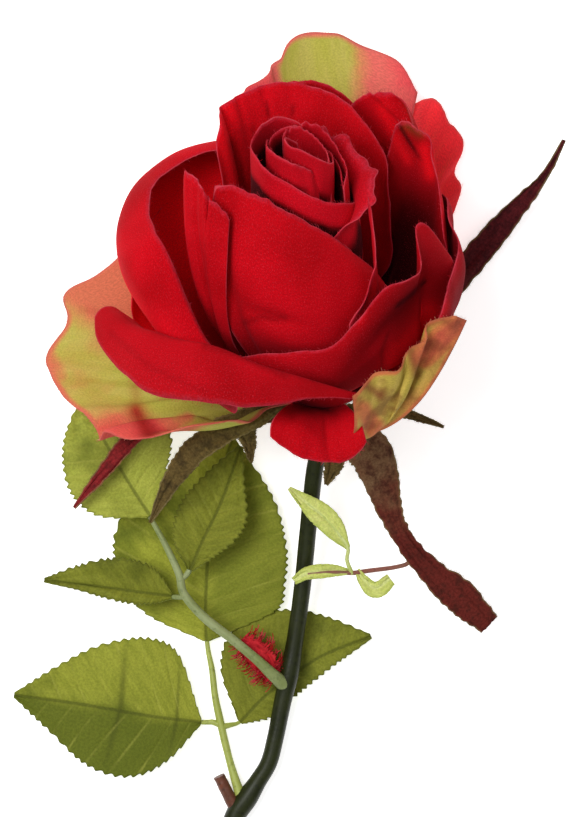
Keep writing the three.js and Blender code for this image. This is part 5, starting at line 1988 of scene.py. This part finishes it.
@dataclass
class Stem:
    """The main stem with its stub and the red stipule."""

    line: Sequence[Station] = (
        (321.5, 422.5, 21.93, 2.6), (323.5, 437, 19.1, 2.3), (316, 462, 17, 2.2), (311, 500, 14, 2.2),
        (307, 540, 11.4, 2.2), (302, 590, 9.2, 2.2), (295, 640, 7.6, 2.2), (289, 674, 6.6, 2.5),
        (283, 700, 6, 2.3), (276, 735, 5.4, 2.2), (269, 762, 5, 2.2), (258, 781, 4.6, 2.3),
        (247, 798, 4.2, 2.8),
        (236, 814, 3.9, 2.7), (226, 840, 3.6, 2.3), (219, 880, 3.2, 2.2), (214, 940, 2.8, 2.2),
        (210, 1000, 2.5, 2.2), (206, 1060, 2.3, 2.2),
    )

    def make(self, dresser: Dresser) -> None:
        """Makes the stem, the stub and the stipule.

        Args:
            dresser: who dresses the pieces.
        """
        Bar("main_stem", self.line, [row[3] for row in self.line], STEM, "stem_green", "stem", bump=0.16,
            pitch=120.0, sides=36, step=0.6).make(dresser)
        Bar("broken_stub", [[238, 812, 3.9], [229, 796, 4.6], [219, 776, 5.4]], [1.7, 1.6, 1.5], STUB_BROWN,
            "stub_brown", "cut_stub", bump=0.5, pitch=500.0, sides=28, step=0.25).make(dresser)
        stipule = Blade("stipule_cloth", [[276, 680, 6.6], [266, 668, 7.4], [252, 652, 8.4], [241, 640, 9]],
                        (1.6, 2.6, 2.8, 1.6), (1.6, 3.6, 3.8, 2), STIPULE_RED, "stipule_red", "stipule",
                        fold=-0.1, ragged=0.9, crumple=0.5)
        points = stipule.make(dresser)
        edges = [(points[:, 0], unit(points[:, 0] - points[:, 4])),
                 (points[:, -1], unit(points[:, -1] - points[:, -5]))]
        Fringe("stipule_frayed_edges", RED_THREAD, "stipule_red", "stipule", spacing=0.36, shortest=0.7,
               longest=2.6, thickness=0.12, spread=0.45).make(edges, dresser)


@dataclass
class Sprig:
    """The pale young shoot at the right of the stem."""

    def make(self, dresser: Dresser) -> None:
        """Makes the shoot's stalks and small leaves.

        Args:
            dresser: who dresses the pieces.
        """
        node = "young_sprig"
        slot = "sprig_pale"
        Bar("sprig_foot",
            [[316, 446, 18.6], [332, 446, 20.5], [354, 462, 23.5], [376, 495, 22.5], [393, 527, 19],
             [405, 550, 16],
             [409, 562, 15.4], [396, 567, 15.8], [367, 571, 17], [352, 573, 18], [330, 572, 18.6],
             [308, 574, 18]],
            (0.9, 0.8, 0.7, 0.6, 0.6, 0.6, 0.6, 0.6, 0.6, 0.6, 0.45, 0.35), SPRIG_BROWN, slot, node,
            sides=12).make(dresser)
        Bar("sprig_stalk",
            [[352, 574, 18], [347, 560, 18.8], [347, 545, 19.6], [328, 521, 20.4], [308, 503, 20]],
            (0.6, 0.5, 0.5, 0.4, 0.35), SPRIG_STALK, slot, node, sides=12).make(dresser)
        common = {"slot": slot, "node": node, "rows": 61, "cols": 17, "ragged": 0.06, "thickness": 0.45,
                  "crumple": 0.25}
        for blade in (
            Blade("sprig_upright_leaf", [[348, 548, 19.6], [330, 523, 20.6], [308, 504, 20.2],
                                         [289, 488, 19]],
                  (0.6, 2.8, 3, 1.8, 0.4), (0.6, 2.6, 3, 1.8, 0.4), SPRIG_GREEN, fold=0.15, **common),
            Blade("sprig_level_leaf", [[350, 572, 18.2], [330, 571, 18.8], [308, 573, 18.2], [294, 581, 17]],
                  (0.6, 1.4, 1.8, 1.5, 0.9), (0.6, 1.6, 1.8, 1.5, 0.9), SPRIG_GREEN, fold=0.1, **common),
            Blade("sprig_curled_tip", [[357, 570, 17.6], [364, 580, 18.2], [376, 588, 18.4], [390, 578, 18]],
                  (0.6, 1.2, 1.6, 1.2), (0.6, 1.6, 2.6, 2), SPRIG_GREEN, fold=0.2, **common),
        ):
            blade.make(dresser)


@dataclass
class Studio:
    """The pale floor, the soft lights and the camera over the plan sheet."""

    sensor: float = 36.0
    floor_size: float = 6.0
    key_power: float = 9.0
    fill_power: float = 4.5
    world: float = 0.3
    floor_glow: float = 0.6
    floor_white: float = 0.97
    key_size: float = 0.5
    key_place: Station = (-0.42, 0.2, 1.05)
    fill_size: float = 1.2
    fill_place: Station = (0.3, 0.0, 1.5)
    aim: Station = (0.0, 0.03, 0.03)

    def camera(self) -> None:
        """Sets the camera over the middle of the plan sheet."""
        data = bpy.data.cameras.new("over the sheet")
        data.sensor_width = self.sensor
        data.lens = self.sensor * SHEET.eye / (SHEET.size[1] * SHEET.square)
        data.clip_start, data.clip_end = 0.05, 20.0
        cam = bpy.data.objects.new("camera", data)
        eye = SHEET.eye + SHEET.height - SHEET.origin[2]
        cam.location = (-SHEET.origin[0] * MM, -SHEET.origin[1] * MM, eye * MM)
        bpy.context.scene.collection.objects.link(cam)
        bpy.context.scene.camera = cam

    def light(self, name: str, power: float, size: float, place: Station) -> None:
        """Adds a soft lamp that points at the flower.

        Args:
            name: the lamp's name.
            power: its power in watts.
            size: side of its square, in metres.
            place: where it stands, in metres.
        """
        data = bpy.data.lights.new(name, "AREA")
        data.energy = power
        data.size = size
        lamp = bpy.data.objects.new(name, data)
        lamp.location = place
        way = Vector(self.aim) - Vector(place)
        lamp.rotation_mode = "QUATERNION"
        lamp.rotation_quaternion = way.to_track_quat("-Z", "Y")
        bpy.context.scene.collection.objects.link(lamp)

    def floor(self) -> None:
        """Lays the pale floor."""
        half = self.floor_size / 2
        mesh = bpy.data.meshes.new("floor")
        mesh.from_pydata([(-half, -half, 0), (half, -half, 0), (half, half, 0), (-half, half, 0)], [],
                         [(0, 1, 2, 3)])
        floor = bpy.data.objects.new("floor", mesh)
        material = bpy.data.materials.new("pale floor")
        material.use_nodes = True
        shader = material.node_tree.nodes["Principled BSDF"]
        shader.inputs["Base Color"].default_value = (self.floor_white,) * 3 + (1.0,)
        shader.inputs["Roughness"].default_value = 0.9
        shader.inputs["Specular IOR Level"].default_value = 0.1
        shader.inputs["Emission Color"].default_value = (1.0, 1.0, 1.0, 1.0)
        shader.inputs["Emission Strength"].default_value = self.floor_glow
        mesh.materials.append(material)
        bpy.context.scene.collection.objects.link(floor)

    def make(self) -> None:
        """Builds the studio."""
        scene = bpy.context.scene
        scene.view_settings.view_transform = "Standard"
        self.floor()
        self.light("key", self.key_power, self.key_size, self.key_place)
        self.light("fill", self.fill_power, self.fill_size, self.fill_place)
        world = bpy.data.worlds.new("studio")
        world.use_nodes = True
        world.node_tree.nodes["Background"].inputs[0].default_value = (1.0, 1.0, 1.0, 1.0)
        world.node_tree.nodes["Background"].inputs[1].default_value = self.world
        scene.world = world
        self.camera()


def main() -> None:
    """Builds the rose round the frame."""
    logging.basicConfig(level=logging.INFO, format="%(name)s: %(message)s")
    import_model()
    Studio().make()
    dresser = Dresser()
    RedBloom().make(dresser)
    Guards().make(dresser)
    Calyx().make(dresser)
    Stem().make(dresser)
    upper_leaf().make(dresser)
    lower_leaf().make(dresser)
    Sprig().make(dresser)
    LOG.info("%d pieces, %d faces", len(dresser.pieces), sum(len(p.data.polygons) for p in dresser.pieces))
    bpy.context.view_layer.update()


if __name__ == "__main__":
    main()
